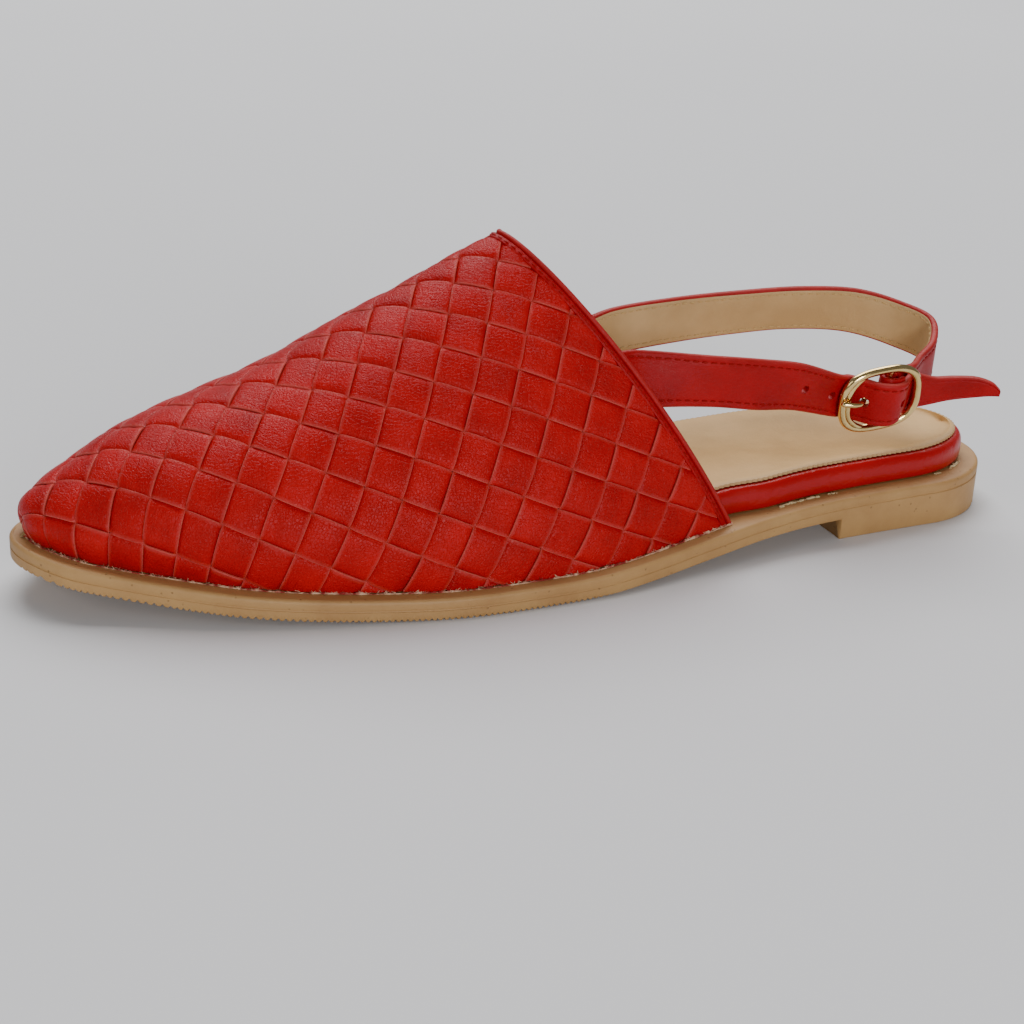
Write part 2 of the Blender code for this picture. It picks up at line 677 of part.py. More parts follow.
def wall_y(x, z, side, depth):
    """y of the vamp's side wall at (x, z), depth inside its outer form; side is -1 outer, 1 inner."""

    def outside(x, z):
        turn = np.linspace(0.02, np.pi / 2, 400)
        turn = turn if side < 0 else np.pi - turn
        slope, rise = np.cos(VAMP_SLOPE), np.sin(VAMP_SLOPE)
        run, level = x * slope + z * rise, z * slope - x * rise
        bow = np.abs(np.cos(turn))
        length = VAMP_LENGTH + TOPLINE_BOW * bow * (1 + bow) / 2
        spots = vamp_section((run - toe_run()) / length, turn)
        levels = spots[:, 2] * slope - spots[:, 0] * rise
        return np.interp(level, levels, spots[:, 1])

    y = outside(x, z)
    by_x = (outside(x + WALL_STEP, z) - y) / WALL_STEP
    by_z = (outside(x, z + WALL_STEP) - y) / WALL_STEP
    return y - side * depth * np.sqrt(1 + by_x**2 + by_z**2)


def anchor_rows(side, exit_z, slope):
    """Lower, middle and upper points of a strap's hidden end, which lies against the vamp's inner wall."""
    depth = STRIP_RISE + WALL + BINDING_EXTRA + 2.5 * GAP + STRAP_THICKNESS / 2
    rows = []
    for back in np.linspace(ANCHOR_LENGTH, 0, 5):
        x, z = anchor_x(exit_z) - back, exit_z - slope * back
        row = []
        for share in (-0.5, 0.0, 0.5):
            up = z + share * STRAP_WIDTH
            row.append((x, wall_y(x, up, side, depth), up))
        rows.append(row)
    return rows


def anchor_x(z):
    """x of the topline in side view at height z."""
    turn = np.linspace(0.05, np.pi / 2, 200)
    line = vamp_section(np.ones(200), turn)
    return np.interp(z, line[:, 2], line[:, 0])


def run_rows(table, columns):
    """Lower, middle and upper points of a strap's free run, from its table."""
    rows = []
    for x, z, upper_y, lower_y in table:
        low = (x * LENGTH, lower_y * HEEL_WIDTH, z * STRAP_HEIGHT - STRAP_WIDTH / 2)
        high = (x * LENGTH, upper_y * HEEL_WIDTH, z * STRAP_HEIGHT + STRAP_WIDTH / 2)
        rows.append([low, tuple((a + b) / 2 for a, b in zip(low, high)), high])
    return rows


def buckle_axes():
    """Centre of the buckle and its three directions: along the strap, out of the frame, across the strap."""
    along = np.array([np.cos(BUCKLE_TURN), np.sin(BUCKLE_TURN), 0.0])
    up, out = np.array([0.0, 0.0, 1.0]), np.array([np.sin(BUCKLE_TURN), -np.cos(BUCKLE_TURN), 0.0])
    across = np.cos(BUCKLE_LEAN) * up + np.sin(BUCKLE_LEAN) * out
    facing = np.cos(BUCKLE_LEAN) * out - np.sin(BUCKLE_LEAN) * up
    return np.array([BUCKLE_X, -BUCKLE_OUT, BUCKLE_Z]), along, facing, across


def in_buckle(u, w, h=0.0):
    """World point from a place in the buckle: along the strap, out of the frame, across the strap."""
    centre, along, facing, across = buckle_axes()
    return centre + u * along + w * facing + h * across


def buckle_row(u, w, rise=0.0, width=None):
    """Lower, middle and upper points of a strap at a place in the buckle."""
    half = (width or STRAP_WIDTH) / 2
    return [tuple(in_buckle(u, w, rise + share * half)) for share in (-1, 0, 1)]


def ribbon(name, rows, thickness, count, made_of):
    """A strap through rows of lower, middle and upper points, and its stations for what sits on it."""
    paths = [smooth_path([row[k] for row in rows], count) for k in range(3)]
    low, mid, high = paths
    width = np.linalg.norm(high - low, axis=1)[:, None]
    across = (high - low) / width
    along = np.gradient(mid, axis=0)
    out = np.cross(along, across)
    out /= np.linalg.norm(out, axis=1)[:, None]
    sag = ((mid - (low + high) / 2) * out).sum(axis=1)[:, None]
    soft = 0.6 * thickness / 2
    half = thickness / 2
    rings = []
    for across_by, through in (
        (-0.5, -half + soft), (-0.5, -half), (0.0, -half), (0.5, -half),
        (0.5, half - soft), (0.5, half), (0.0, half), (-0.5, half),
    ):
        pull = soft if abs(abs(through) - half) < 1e-9 and across_by else 0.0
        shift = across_by * width - np.sign(across_by) * pull
        bow = sag * (1 - (2 * across_by) ** 2)
        rings.append((low + high) / 2 + across * shift + out * (through + bow))
    rings = np.stack(rings, axis=1)
    size = rings.shape[1]
    faces = ring_faces(count, size) + [tuple(range(size)), tuple(range((count - 1) * size, count * size))]
    obj = solid(name, rings.reshape(-1, 3), faces, made_of)
    run = np.concatenate([[0], np.cumsum(np.linalg.norm(np.diff(mid, axis=0), axis=1))])
    return obj, {"mid": mid, "out": out, "run": run}


def cylinder_between(name, start, end, radius, sides=16):
    """A closed round bar between two points."""
    start, end = np.asarray(start, float), np.asarray(end, float)
    way = (end - start) / np.linalg.norm(end - start)
    one = np.cross(way, [0.3, 0.5, 0.8])
    one /= np.linalg.norm(one)
    two = np.cross(way, one)
    turn = np.arange(sides) * 2 * np.pi / sides
    ring = radius * (np.cos(turn)[:, None] * one + np.sin(turn)[:, None] * two)
    faces = ring_faces(2, sides) + [tuple(range(sides)), tuple(range(sides, 2 * sides))]
    return cutter(name, np.concatenate([start + ring, end + ring]), faces)


def tube(name, path, radius, sides, closed=False):
    """A round wire along a path in a plane across the buckle or along it."""
    path = np.asarray(path, float)
    if closed:
        along = np.roll(path, -1, axis=0) - np.roll(path, 1, axis=0)
    else:
        along = np.gradient(path, axis=0)
    along /= np.linalg.norm(along, axis=1)[:, None]
    plane = np.linalg.svd(path - path.mean(axis=0))[2][2]
    one = np.broadcast_to(plane, path.shape)
    two = np.cross(along, one)
    turn = np.arange(sides) * 2 * np.pi / sides
    around = np.cos(turn)[None, :, None] * one[:, None] + np.sin(turn)[None, :, None] * two[:, None]
    rings = path[:, None] + radius * around
    count = len(path)
    faces = ring_faces(count, sides)
    if closed:
        last = (count - 1) * sides
        faces += [(last + k, last + (k + 1) % sides, (k + 1) % sides, k) for k in range(sides)]
    else:
        faces += [tuple(range(sides)), tuple(range((count - 1) * sides, count * sides))]
    return name, rings.reshape(-1, 3), faces


def side_bar_u():
    """Distance of the frame's end bars from its centre."""
    return FRAME_LENGTH / 2 - FRAME_WIRE / 2


def fold_radius():
    """Outer radius of the strap's fold round the middle bar."""
    return BAR_WIRE / 2 + GAP + FOLD_THICKNESS


def under_bar():
    """Depth of a strap's middle where it passes behind an end bar."""
    return FRAME_WIRE / 2 + 1.5 * GAP + STRAP_THICKNESS / 2


def make_front_strap(made_of):
    """The punched strap: behind the first bar, over the middle one, behind the last one, and a free tail."""
    rows = anchor_rows(-1, FRONT_EXIT, FRONT_CLIMB) + run_rows(FRONT_RUN, FRONT_RUN_COLUMNS)
    crest = fold_radius() + GAP + STRAP_THICKNESS / 2
    deep = under_bar()
    turns = [(-away, over) for away, over in THREAD] + THREAD[-2::-1]
    for away, over in turns:
        u = BAR_SHIFT + abs(away) * (np.copysign(side_bar_u(), away) - BAR_SHIFT)
        width = THREAD_WIDTH - THREAD_TAPER * max(away, 0)
        rows.append(buckle_row(u, over * (crest + deep) - deep, 0.0, width * STRAP_WIDTH))
    for along, out, up, width in TAIL:
        rows.append(buckle_row(along * TAIL_LENGTH, out * STRAP_WIDTH, up * STRAP_WIDTH, width * STRAP_WIDTH))
    strap, stations = ribbon("front_strap", rows, STRAP_THICKNESS, 52, made_of)
    through = 2 * STRAP_THICKNESS
    along = (stations["mid"] - in_buckle(0, 0)) @ buckle_axes()[1]
    prong_hole = np.interp(prong_hole_u(), along, stations["run"])
    for number, at in enumerate(prong_hole + HOLE_PITCH * np.arange(-2, 2)):
        spot = np.array([np.interp(at, stations["run"], stations["mid"][:, k]) for k in range(3)])
        out = np.array([np.interp(at, stations["run"], stations["out"][:, k]) for k in range(3)])
        radius = PRONG_WIRE / 2 + 2 * GAP if number == 2 else HOLE_RADIUS
        punch = cylinder_between(f"punch_{number}", spot - through * out, spot + through * out, radius, 12)
        boolean(strap, punch, "DIFFERENCE")
    return strap


def prong_hole_u():
    """Place along the strap of the hole that the prong goes through."""
    return BAR_SHIFT - PRONG_REACH


def make_sling_strap(made_of):
    """The heel strap: from the vamp's inner side round the heel, its end folded round the middle bar."""
    rows = anchor_rows(1, SLING_EXIT, SLING_CLIMB) + run_rows(HEEL_RUN, HEEL_RUN_COLUMNS)
    deep = under_bar() + STRAP_THICKNESS + GAP
    end = side_bar_u()
    for u, w in ((end, -deep - GAP), (0.55 * end, -0.78 * deep)):
        rows.append(buckle_row(u, w, 0.0))
    rows.append(buckle_row(BAR_SHIFT + BAR_WIRE, -fold_radius() + STRAP_THICKNESS / 2))
    strap, _ = ribbon("sling_strap", rows, STRAP_THICKNESS, 48, made_of)
    half = STRAP_WIDTH / 2
    ends = in_buckle(BAR_SHIFT, 0, -half), in_buckle(BAR_SHIFT, 0, half)
    boolean(strap, cylinder_between("fold", *ends, fold_radius(), 20), "UNION")
    beyond = in_buckle(BAR_SHIFT, 0, -2 * half), in_buckle(BAR_SHIFT, 0, 2 * half)
    boolean(strap, cylinder_between("fold_bore", *beyond, BAR_WIRE / 2 + GAP, 16), "DIFFERENCE")
    slot = PRONG_WIRE / 2 + 2 * GAP
    reach = fold_radius() + 2 * GAP
    corners = [in_buckle(BAR_SHIFT + u * reach, w * reach, h * slot) for h in (-1, 1) for u, w in
               ((-1, -1), (1, -1), (1, 1), (-1, 1))]
    faces = ring_faces(2, 4) + [(0, 1, 2, 3), (4, 5, 6, 7)]
    boolean(strap, cutter("prong_slot", corners, faces), "DIFFERENCE")
    return strap


def make_buckle_frame(made_of):
    """The frame, a rounded oblong of round wire, and the middle bar cast into it."""
    turn = np.linspace(0, 2 * np.pi, 36, endpoint=False)
    u = (FRAME_LENGTH - FRAME_WIRE) / 2 * np.sign(np.cos(turn)) * np.abs(np.cos(turn)) ** (2 / FRAME_FULLNESS)
    h = (FRAME_WIDTH - FRAME_WIRE) / 2 * np.sign(np.sin(turn)) * np.abs(np.sin(turn)) ** (2 / FRAME_FULLNESS)
    path = [in_buckle(u[k], 0, h[k]) for k in range(len(turn))]
    frame = solid(*tube("buckle_frame", path, FRAME_WIRE / 2, 8, closed=True), made_of)
    half = (FRAME_WIDTH - FRAME_WIRE) / 2
    ends = in_buckle(BAR_SHIFT, 0, -half), in_buckle(BAR_SHIFT, 0, half)
    boolean(frame, cylinder_between("middle_bar", *ends, BAR_WIRE / 2, 10), "UNION")
    return frame


def make_prong(made_of):
    """The prong: a ring on the middle bar, out through the strap's hole and down on the end bar."""
    ring = BAR_WIRE / 2 + GAP + PRONG_WIRE / 2
    turn = np.linspace(0, 2 * np.pi, 14, endpoint=False)
    loop = [in_buckle(BAR_SHIFT + ring * np.cos(t), ring * np.sin(t)) for t in turn]
    prong = solid(*tube("buckle_prong", loop, PRONG_WIRE / 2, 6, closed=True), made_of)
    end, rest = side_bar_u(), FRAME_WIRE / 2 + PRONG_WIRE / 2 + GAP
    bends = [(BAR_SHIFT - ring, 0.0)]
    bends += [(prong_hole_u() + back * PRONG_WIRE, out * PRONG_WIRE) for back, out in PRONG]
    bends += [(-end, rest), (-end - PRONG_WIRE, 0.7 * rest)]
    path = smooth_path([in_buckle(u, w) for u, w in bends], 18)
    arm = cutter(*tube("prong_arm", path, PRONG_WIRE / 2, 6))
    boolean(prong, arm, "UNION")
    return prong


def main():
    for obj in list(bpy.data.objects):
        bpy.data.objects.remove(obj)
    red = (0.52, 0.010, 0.012)
    woven = material("red_strip_leather", red, 0.42)
    strap = material("red_strap_leather", red, 0.40)
    wrapped = material("red_wrapping_leather", red, 0.36)
    rubber = material("tan_sole_rubber", (0.49, 0.31, 0.14), 0.55)
    sock = material("beige_sock_leather", (0.55, 0.40, 0.24), 0.60)
    brass = material("polished_brass", (0.83, 0.62, 0.30), 0.18, 1.0)
    make_outsole(rubber)
    make_footbed(wrapped)
    make_insole(sock)
    form = vamp_form()
    make_upper(form, woven)
    make_binding(form, strap)
    make_sling_strap(strap)
    make_front_strap(strap)
    make_buckle_frame(brass)
    make_prong(brass)


main()
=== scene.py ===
"""The finished look of a woven slingback flat, left shoe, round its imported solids.

Metres, +Z up. The shoe stands on z = 0, its toe at -X, its heel at +X and its outer side at -Y. Sizes are
those of the solids' own source, but the buckle's frame is rounder here. Each surface is worked out from
them on a finer grid.
"""

import bmesh
import bpy
import numpy as np
from mathutils import Matrix, Vector


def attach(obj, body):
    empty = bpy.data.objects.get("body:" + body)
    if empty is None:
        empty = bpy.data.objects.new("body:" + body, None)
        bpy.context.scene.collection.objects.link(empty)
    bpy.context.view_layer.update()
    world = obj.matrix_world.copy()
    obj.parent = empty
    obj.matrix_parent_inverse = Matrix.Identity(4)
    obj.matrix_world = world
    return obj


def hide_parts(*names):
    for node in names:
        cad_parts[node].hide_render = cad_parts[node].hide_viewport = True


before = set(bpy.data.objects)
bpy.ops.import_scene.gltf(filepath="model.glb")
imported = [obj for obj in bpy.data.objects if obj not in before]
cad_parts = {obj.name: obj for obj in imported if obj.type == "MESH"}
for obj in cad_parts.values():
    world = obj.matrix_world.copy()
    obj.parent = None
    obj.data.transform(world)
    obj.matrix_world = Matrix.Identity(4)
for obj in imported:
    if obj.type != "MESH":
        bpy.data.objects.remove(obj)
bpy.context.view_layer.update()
MM = 0.001

# Sole
LENGTH = 0.262
BALL_WIDTH = 0.089
WAIST_WIDTH = 0.064
HEEL_WIDTH = 0.059
TOE_SPRING = 0.0090
HEEL_HEIGHT = 0.0054
REAR_RISE = 0.0014
SOLE_THICKNESS = 0.0053
BREAST_SHARE = 0.785
UPPER_BAND = 0.0022
GROOVE = 0.0007
SOLE_ROUND = 0.0009
TOE_CAP, HEEL_CAP = 0.05, 0.10
SOLE_FOOT_ROUND = 0.00035
SIDE_LINE = 0.00022
TREAD_PITCH = 0.00145
TREAD_DEPTH = 0.00070
TREAD_WAVE = 0.0110
HEEL_BAR_PITCH = 0.0062
HEEL_BAR_DEPTH = 0.0008

# Footbed and insole
LEDGE = 0.0042
FOOTBED_REAR_INSET = 0.0047
RIM_HEIGHT = 0.0066
RIM_ROLL = 0.0019
FOOTBED_TOE_HEIGHT = 0.0042
HEEL_CUP = 0.0012
INSOLE_THICKNESS = 0.0010
PINK_PITCH = 0.0016
PINK_DEPTH = 0.00045

# Vamp
VAMP_LENGTH = 0.132
INSTEP = 0.0816
VAMP_SLOPE = np.radians(30.0)
TOE_FULLNESS = 2.21
INSTEP_FULLNESS = 1.70
SIDE_BULGE = 0.0029
TOPLINE_BOW = 0.0107
APEX_TO_INNER = 0.0009
WALL = 0.0015
STRIP_RISE = 0.0009
BINDING_EXTRA = 0.0003
BACKING_TOP, BACKING_FOOT = -0.00086, -0.00140
LINING_TOP, LINING_FOOT = -0.00145, -0.00200

# Weave
CELL_LONG = 0.0120
CELL_WIDE = 0.01355
LONG_PHASE = -0.08
WIDE_PHASE = 0.11
SIDE_PULL = 0.13
TOE_PULL = 0.33
TOE_GATHER = 0.053
PULL_RADIUS = 0.0080
STRIP_SINK = 0.0005
CELL = 0.0091
STRIP_THICKNESS = 0.00070
STRIP_EDGE = 0.00022
STRIP_CROWN = 0.00020
STRIP_FILL = 0.990
STRIP_SWELL, STRIP_PINCH = 0.035, 0.02
STRIP_DIP = 0.00030
STRIP_TRIM = 0.0016
STRIP_ROWS = 18
WEAVE_LINES = range(-14, 34)

# Straps
STRAP_WIDTH = 0.0132
STRAP_THICKNESS = 0.0019
STRAP_HEIGHT = 0.0470
FRONT_EXIT = 0.0464
SLING_EXIT = 0.0437
FRONT_CLIMB = -0.01
SLING_CLIMB = 0.05
ANCHOR_LENGTH = 0.0180
HOLE_RADIUS = 0.0011
HOLE_PITCH = 0.0104
HOLES_BEFORE, HOLES_AFTER = 2, 1
TAIL_LENGTH = 0.0330
STRAP_SEAM = 0.0017
SEAM_SINK = 0.00020
STITCH_PITCH = 0.0023
STITCH_LENGTH = 0.0017
STITCH_WIDTH = 0.00050

# Buckle
BUCKLE_X = 0.0849
BUCKLE_OUT = 0.0236
BUCKLE_Z = 0.0364
BUCKLE_TURN = np.radians(-3.0)
BUCKLE_LEAN = np.radians(13.0)
FRAME_LENGTH = 0.0234
FRAME_WIDTH = 0.0190
FRAME_WIRE = 0.0021
FRAME_FULLNESS = 2.8
FRAME_TILT = np.radians(8.0)
BAR_WIRE = 0.0018
BAR_SHIFT = 0.0012
PRONG_WIRE = 0.0014
PRONG_REACH = 0.0061
FOLD_THICKNESS = 0.0013

GAP = 0.0003

# Half widths of the sole: share of its length, the width that the row follows, and shares of that width.
OUTLINE_COLUMNS = ("along", "follows", "outer", "inner")
OUTLINE = [
    (0.00, "ball", 0.151, 0.157),
    (0.08, "ball", 0.258, 0.270),
    (0.18, "ball", 0.384, 0.393),
    (0.28, "ball", 0.458, 0.468),
    (0.39, "ball", 0.500, 0.500),
    (0.50, "ball", 0.486, 0.438),
    (0.62, "waist", 0.570, 0.500),
    (0.74, "heel", 0.500, 0.500),
    (0.86, "heel", 0.449, 0.500),
    (1.00, "heel", 0.415, 0.449),
]
# Underside from toe to breast: shares of the toe spring and of the heel height, and the ledge's rear rise.
SIDE_COLUMNS = ("along", "spring", "heel", "rise")
SIDE = [
    (0.00, 1.00, 0.00, 0.00),
    (0.10, 0.52, 0.00, 0.00),
    (0.22, 0.15, 0.00, 0.00),
    (0.36, 0.00, 0.00, 0.00),
    (0.46, 0.00, 0.00, 0.00),
    (0.56, 0.00, 0.28, 0.00),
    (0.70, 0.00, 0.85, 0.00),
    (0.79, 0.00, 1.00, 0.30),
    (1.00, 0.00, 1.00, 1.00),
]
# Ridge of the vamp: share of its length from the toe, height over the feather edge as a share of the instep.
RIDGE_COLUMNS = ("along", "height")
RIDGE = [
    (0.00, 0.000),
    (0.02, 0.112),
    (0.06, 0.179),
    (0.12, 0.260),
    (0.25, 0.417),
    (0.50, 0.614),
    (0.80, 0.869),
    (1.00, 1.000),
    (1.15, 1.053),
]
# The binding's section beside its bead, outside and inside the vamp: mm from the topline, mm off the form.
BINDING_OUTSIDE = [
    (3.15, 0.10),
    (3.10, 0.34),
    (2.90, 0.46),
    (2.60, 0.48),
    (2.30, 0.44),
    (2.00, 0.46),
    (1.75, 0.44),
    (1.58, 0.26),
    (1.44, 0.20),
]
BINDING_INSIDE = [
    (-0.16, -1.40),
    (0.05, -2.30),
    (0.50, -2.62),
    (1.60, -2.60),
    (2.90, -2.55),
    (3.15, -2.30),
]
# Dried glue on the ledge: share of the sole's length, side (-1 outer, 1 inner), size of the drops.
GLUE = [
    (0.736, -1, 0.0011),
    (0.752, -1, 0.0007),
    (0.768, -1, 0.0009),
    (0.790, -1, 0.0005),
    (0.965, -1, 0.0010),
    (0.880, 1, 0.0008),
    (0.742, 1, 0.0007),
    (0.930, -1, 0.0005),
]
GLUE_DROPS = 9
# Free runs of both straps: x as a share of the sole's length, height of the middle as a share of the strap
# height, and y of the upper and lower edge as shares of the heel width.
HEEL_RUN = [
    (0.115, 0.952, 0.398, 0.408),
    (0.187, 0.983, 0.410, 0.438),
    (0.260, 1.004, 0.388, 0.452),
    (0.327, 1.022, 0.334, 0.420),
    (0.384, 1.015, 0.252, 0.322),
    (0.421, 0.966, 0.135, 0.163),
    (0.437, 0.920, -0.009, -0.003),
    (0.420, 0.845, -0.150, -0.140),
    (0.391, 0.800, -0.245, -0.245),
]
FRONT_RUN = [
    (0.135, 0.962, -0.418, -0.410),
    (0.180, 0.930, -0.427, -0.429),
    (0.225, 0.890, -0.440, -0.380),
]
# The front strap in the buckle: way from the middle bar to an end bar, height from behind the end bar (0) to
# over the folded strap on the middle bar (1).
THREAD = [
    (1.00, 0.00),
    (0.89, 0.00),
    (0.79, 0.12),
    (0.53, 0.50),
    (0.30, 0.85),
    (0.00, 1.00),
]
THREAD_WIDTH, THREAD_TAPER = 0.93, 0.12
# Free tail past the buckle: share of its length, side step, rise and width as shares of the strap width.
TAIL = [
    (0.49, -0.15, -0.01, 0.62),
    (0.65, -0.06, 0.07, 0.53),
    (0.82, 0.10, 0.15, 0.44),
    (0.94, 0.24, 0.16, 0.27),
    (1.00, 0.30, 0.11, 0.12),
]
# The prong round its hole: way back from the hole, and out of the frame, as shares of the prong's wire.
PRONG = [
    (2.15, -0.18),
    (1.07, -0.50),
    (0.43, -0.30),
    (0.00, 0.25),
    (-0.43, 0.86),
    (-1.21, 1.54),
    (-2.36, 1.82),
]

# Camera: the photograph's angle to the shoe, its distance, and the point that it looks at
CAMERA_AZIMUTH = np.radians(-22.972)
CAMERA_ELEVATION = np.radians(21.852)
CAMERA_ROLL = np.radians(2.432)
CAMERA_DISTANCE = 0.450
CAMERA_TARGET = (-0.00645, 0.0, 0.00608)
CAMERA_LENS = 61.73
FLOOR_HALF = 9.0
# Soft boxes: name, place, width, power
LIGHTS = [
    ("ceiling", (0.6, 1.8, 3.0), 3.0, 165.0),
    ("front", (-0.10, -1.80, 0.50), 0.5, 18.0),
    ("toe_side", (-1.60, -0.50, 1.00), 0.8, 4.0),
]
LIGHT_AIM = (0.0, 0.0, 0.03)


# Curves

def column(rows, columns, name):
    """One named column of a table as an array."""
    return np.array([row[columns.index(name)] for row in rows], float)


def monotone(xs, ys, x):
    """Values at x of the smooth curve through the points (xs, ys) that never overshoots them."""
    step = np.diff(xs)
    slope = np.diff(ys) / step
    same = slope[1:] * slope[:-1] > 0
    before, after = 2 * step[1:] + step[:-1], step[1:] + 2 * step[:-1]
    under = np.where(same, before * slope[1:] + after * slope[:-1], 1.0)
    tangent = np.zeros(len(xs))
    tangent[1:-1] = np.where(same, (before + after) * slope[1:] * slope[:-1] / under, 0.0)
    tangent[0], tangent[-1] = slope[0], slope[-1]
    i = np.clip(np.searchsorted(xs, x, side="right") - 1, 0, len(step) - 1)
    t = (x - xs[i]) / step[i]
    start = (2 * t**3 - 3 * t**2 + 1) * ys[i] + (t**3 - 2 * t**2 + t) * tangent[i] * step[i]
    end = (3 * t**2 - 2 * t**3) * ys[i + 1] + (t**3 - t**2) * tangent[i + 1] * step[i]
    return start + end


def smooth_path(points, count):
    """A centripetal Catmull-Rom curve through the points, read at count places even in length."""
    points = np.asarray(points, float)
    ends = np.concatenate([2 * points[:1] - points[1:2], points, 2 * points[-1:] - points[-2:-1]])
    knots = np.concatenate([[0], np.cumsum(np.sqrt(np.linalg.norm(np.diff(ends, axis=0), axis=1)))])
    pieces = []
    for k in range(1, len(ends) - 2):
        t = np.linspace(knots[k], knots[k + 1], 24, endpoint=False)[:, None]
        t0, t1, t2, t3 = knots[k - 1 : k + 3]
        a1 = (t1 - t) / (t1 - t0) * ends[k - 1] + (t - t0) / (t1 - t0) * ends[k]
        a2 = (t2 - t) / (t2 - t1) * ends[k] + (t - t1) / (t2 - t1) * ends[k + 1]
        a3 = (t3 - t) / (t3 - t2) * ends[k + 1] + (t - t2) / (t3 - t2) * ends[k + 2]
        b1 = (t2 - t) / (t2 - t0) * a1 + (t - t0) / (t2 - t0) * a2
        b2 = (t3 - t) / (t3 - t1) * a2 + (t - t1) / (t3 - t1) * a3
        pieces.append((t2 - t) / (t2 - t1) * b1 + (t - t1) / (t2 - t1) * b2)
    fine = np.concatenate(pieces + [points[-1:]])
    run = run_of(fine)
    at = np.linspace(0, run[-1], count)
    return np.stack([np.interp(at, run, fine[:, k]) for k in range(fine.shape[1])], axis=1)


def run_of(path):
    """Length along a path at each of its points."""
    return np.concatenate([[0], np.cumsum(np.linalg.norm(np.diff(path, axis=0), axis=1))])


def read_path(path, run, at):
    """Values of a path's rows at the lengths at."""
    return np.stack([np.interp(at, run, path[:, k]) for k in range(path.shape[1])], axis=1)


def unit(vectors):
    """Vectors of length one."""
    return vectors / np.maximum(np.linalg.norm(vectors, axis=-1, keepdims=True), 1e-12)


def ease(t):
    """0 to 1 with level ends."""
    t = np.clip(t, 0, 1)
    return t * t * (3 - 2 * t)


def zigzag(t):
    """A triangle wave of period 1 from 0 to 1."""
    return np.abs(2 * (t - np.floor(t)) - 1)


# Meshes

def grid_faces(rows, columns, around=False, along=False):
    """Quads between neighbours of a grid; around joins its last column to its first, along its last row."""
    r = np.arange(rows if along else rows - 1)[:, None]
    c = np.arange(columns if around else columns - 1)[None, :]
    r2, c2 = (r + 1) % rows, (c + 1) % columns
    quads = np.stack([r * columns + c, r * columns + c2, r2 * columns + c2, r2 * columns + c], axis=-1)
    return quads.reshape(-1, 4).tolist()


def lofted(rings):
    """Points and faces of closed rings in a row, with a face at both ends."""
    rows, size = rings.shape[:2]
    last = (rows - 1) * size
    ends = [list(range(size)), list(range(last, last + size))]
    return rings.reshape(-1, 3), grid_faces(rows, size, around=True) + ends


def piece(name, points, faces, made_of, slot, stands_for=(), marks=None, sharp=40):
    """A closed mesh that rides on the shoe. marks are named values, or vectors, at its points."""
    points = np.asarray(points, float).reshape(-1, 3)
    mesh = bpy.data.meshes.new(name)
    mesh.from_pydata(points.tolist(), [], faces)
    for mark, values in (marks or {}).items():
        values = np.asarray(values, np.float32)
        if values.ndim > 1:
            mesh.attributes.new(mark, "FLOAT_VECTOR", "POINT").data.foreach_set("vector", values.ravel())
        else:
            mesh.attributes.new(mark, "FLOAT", "POINT").data.foreach_set("value", values)
    work = bmesh.new()
    work.from_mesh(mesh)
    bmesh.ops.remove_doubles(work, verts=work.verts, dist=1e-6)
    bmesh.ops.dissolve_degenerate(work, edges=work.edges, dist=1e-7)
    bmesh.ops.recalc_face_normals(work, faces=work.faces)
    work.to_mesh(mesh)
    work.free()
    mesh.materials.append(made_of)
    mesh.shade_smooth()
    mesh.set_sharp_from_angle(angle=np.radians(sharp))
    obj = bpy.data.objects.new(name, mesh)
    bpy.context.scene.collection.objects.link(obj)
    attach(obj, "root")
    if stands_for:
        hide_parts(*stands_for)
    return obj


def joined(parts):
    """Several (points, faces) as one."""
    points, faces, first = [], [], 0
    for more, quads in parts:
        more = np.asarray(more, float).reshape(-1, 3)
        points.append(more)
        faces += [[k + first for k in face] for face in quads]
        first += len(more)
    return np.concatenate(points), faces


def tube(path, radius, sides, plane, closed=False):
    """A round wire: circles carried along a path, square to it; plane is a direction across the path."""
    path = np.asarray(path, float)
    along = np.roll(path, -1, axis=0) - np.roll(path, 1, axis=0) if closed else np.gradient(path, axis=0)
    along = unit(along)
    two = unit(np.cross(along, np.broadcast_to(plane, path.shape)))
    one = np.cross(two, along)
    turn = np.arange(sides) * 2 * np.pi / sides
    around = np.cos(turn)[None, :, None] * one[:, None] + np.sin(turn)[None, :, None] * two[:, None]
    radius = np.broadcast_to(radius, len(path))[:, None, None]
    points = path[:, None] + radius * around
    if closed:
        return points.reshape(-1, 3), grid_faces(len(path), sides, around=True, along=True)
    return lofted(points)


def stitches(spots, ways, outs, length, width):
    """Rows of thread: each stitch is a circle carried along it, that shrinks to nothing at both its ends."""
    rounds, sides = 7, 8
    share = np.linspace(-1, 1, rounds)
    size = np.sqrt(np.maximum(0.0, 1 - np.abs(share) ** 3))
    turn = np.arange(sides) * 2 * np.pi / sides
    side = np.cross(outs, ways)
    along = (share * length / 2)[None, :, None, None] * ways[:, None, None, :]
    ring = size[None, :, None, None] * width / 2
    across = ring * np.cos(turn)[None, None, :, None] * side[:, None, None, :]
    up = ring * np.sin(turn)[None, None, :, None] * outs[:, None, None, :]
    points = spots[:, None, None, :] + along + across + up
    per = rounds * sides
    one = np.array(grid_faces(rounds, sides, around=True))
    faces = (one[None] + (np.arange(len(spots)) * per)[:, None, None]).reshape(-1, 4).tolist()
    return points.reshape(-1, 3), faces


# Sole and footbed

def cap_share(along):
    """1 along the outline's middle, falling to 0 at both ends as a quarter ellipse."""
    toe = np.clip(along / TOE_CAP, 0, 1)
    heel = np.clip((1 - along) / HEEL_CAP, 0, 1)
    return np.sqrt(np.maximum(0, 1 - (1 - np.minimum(toe, heel)) ** 2))


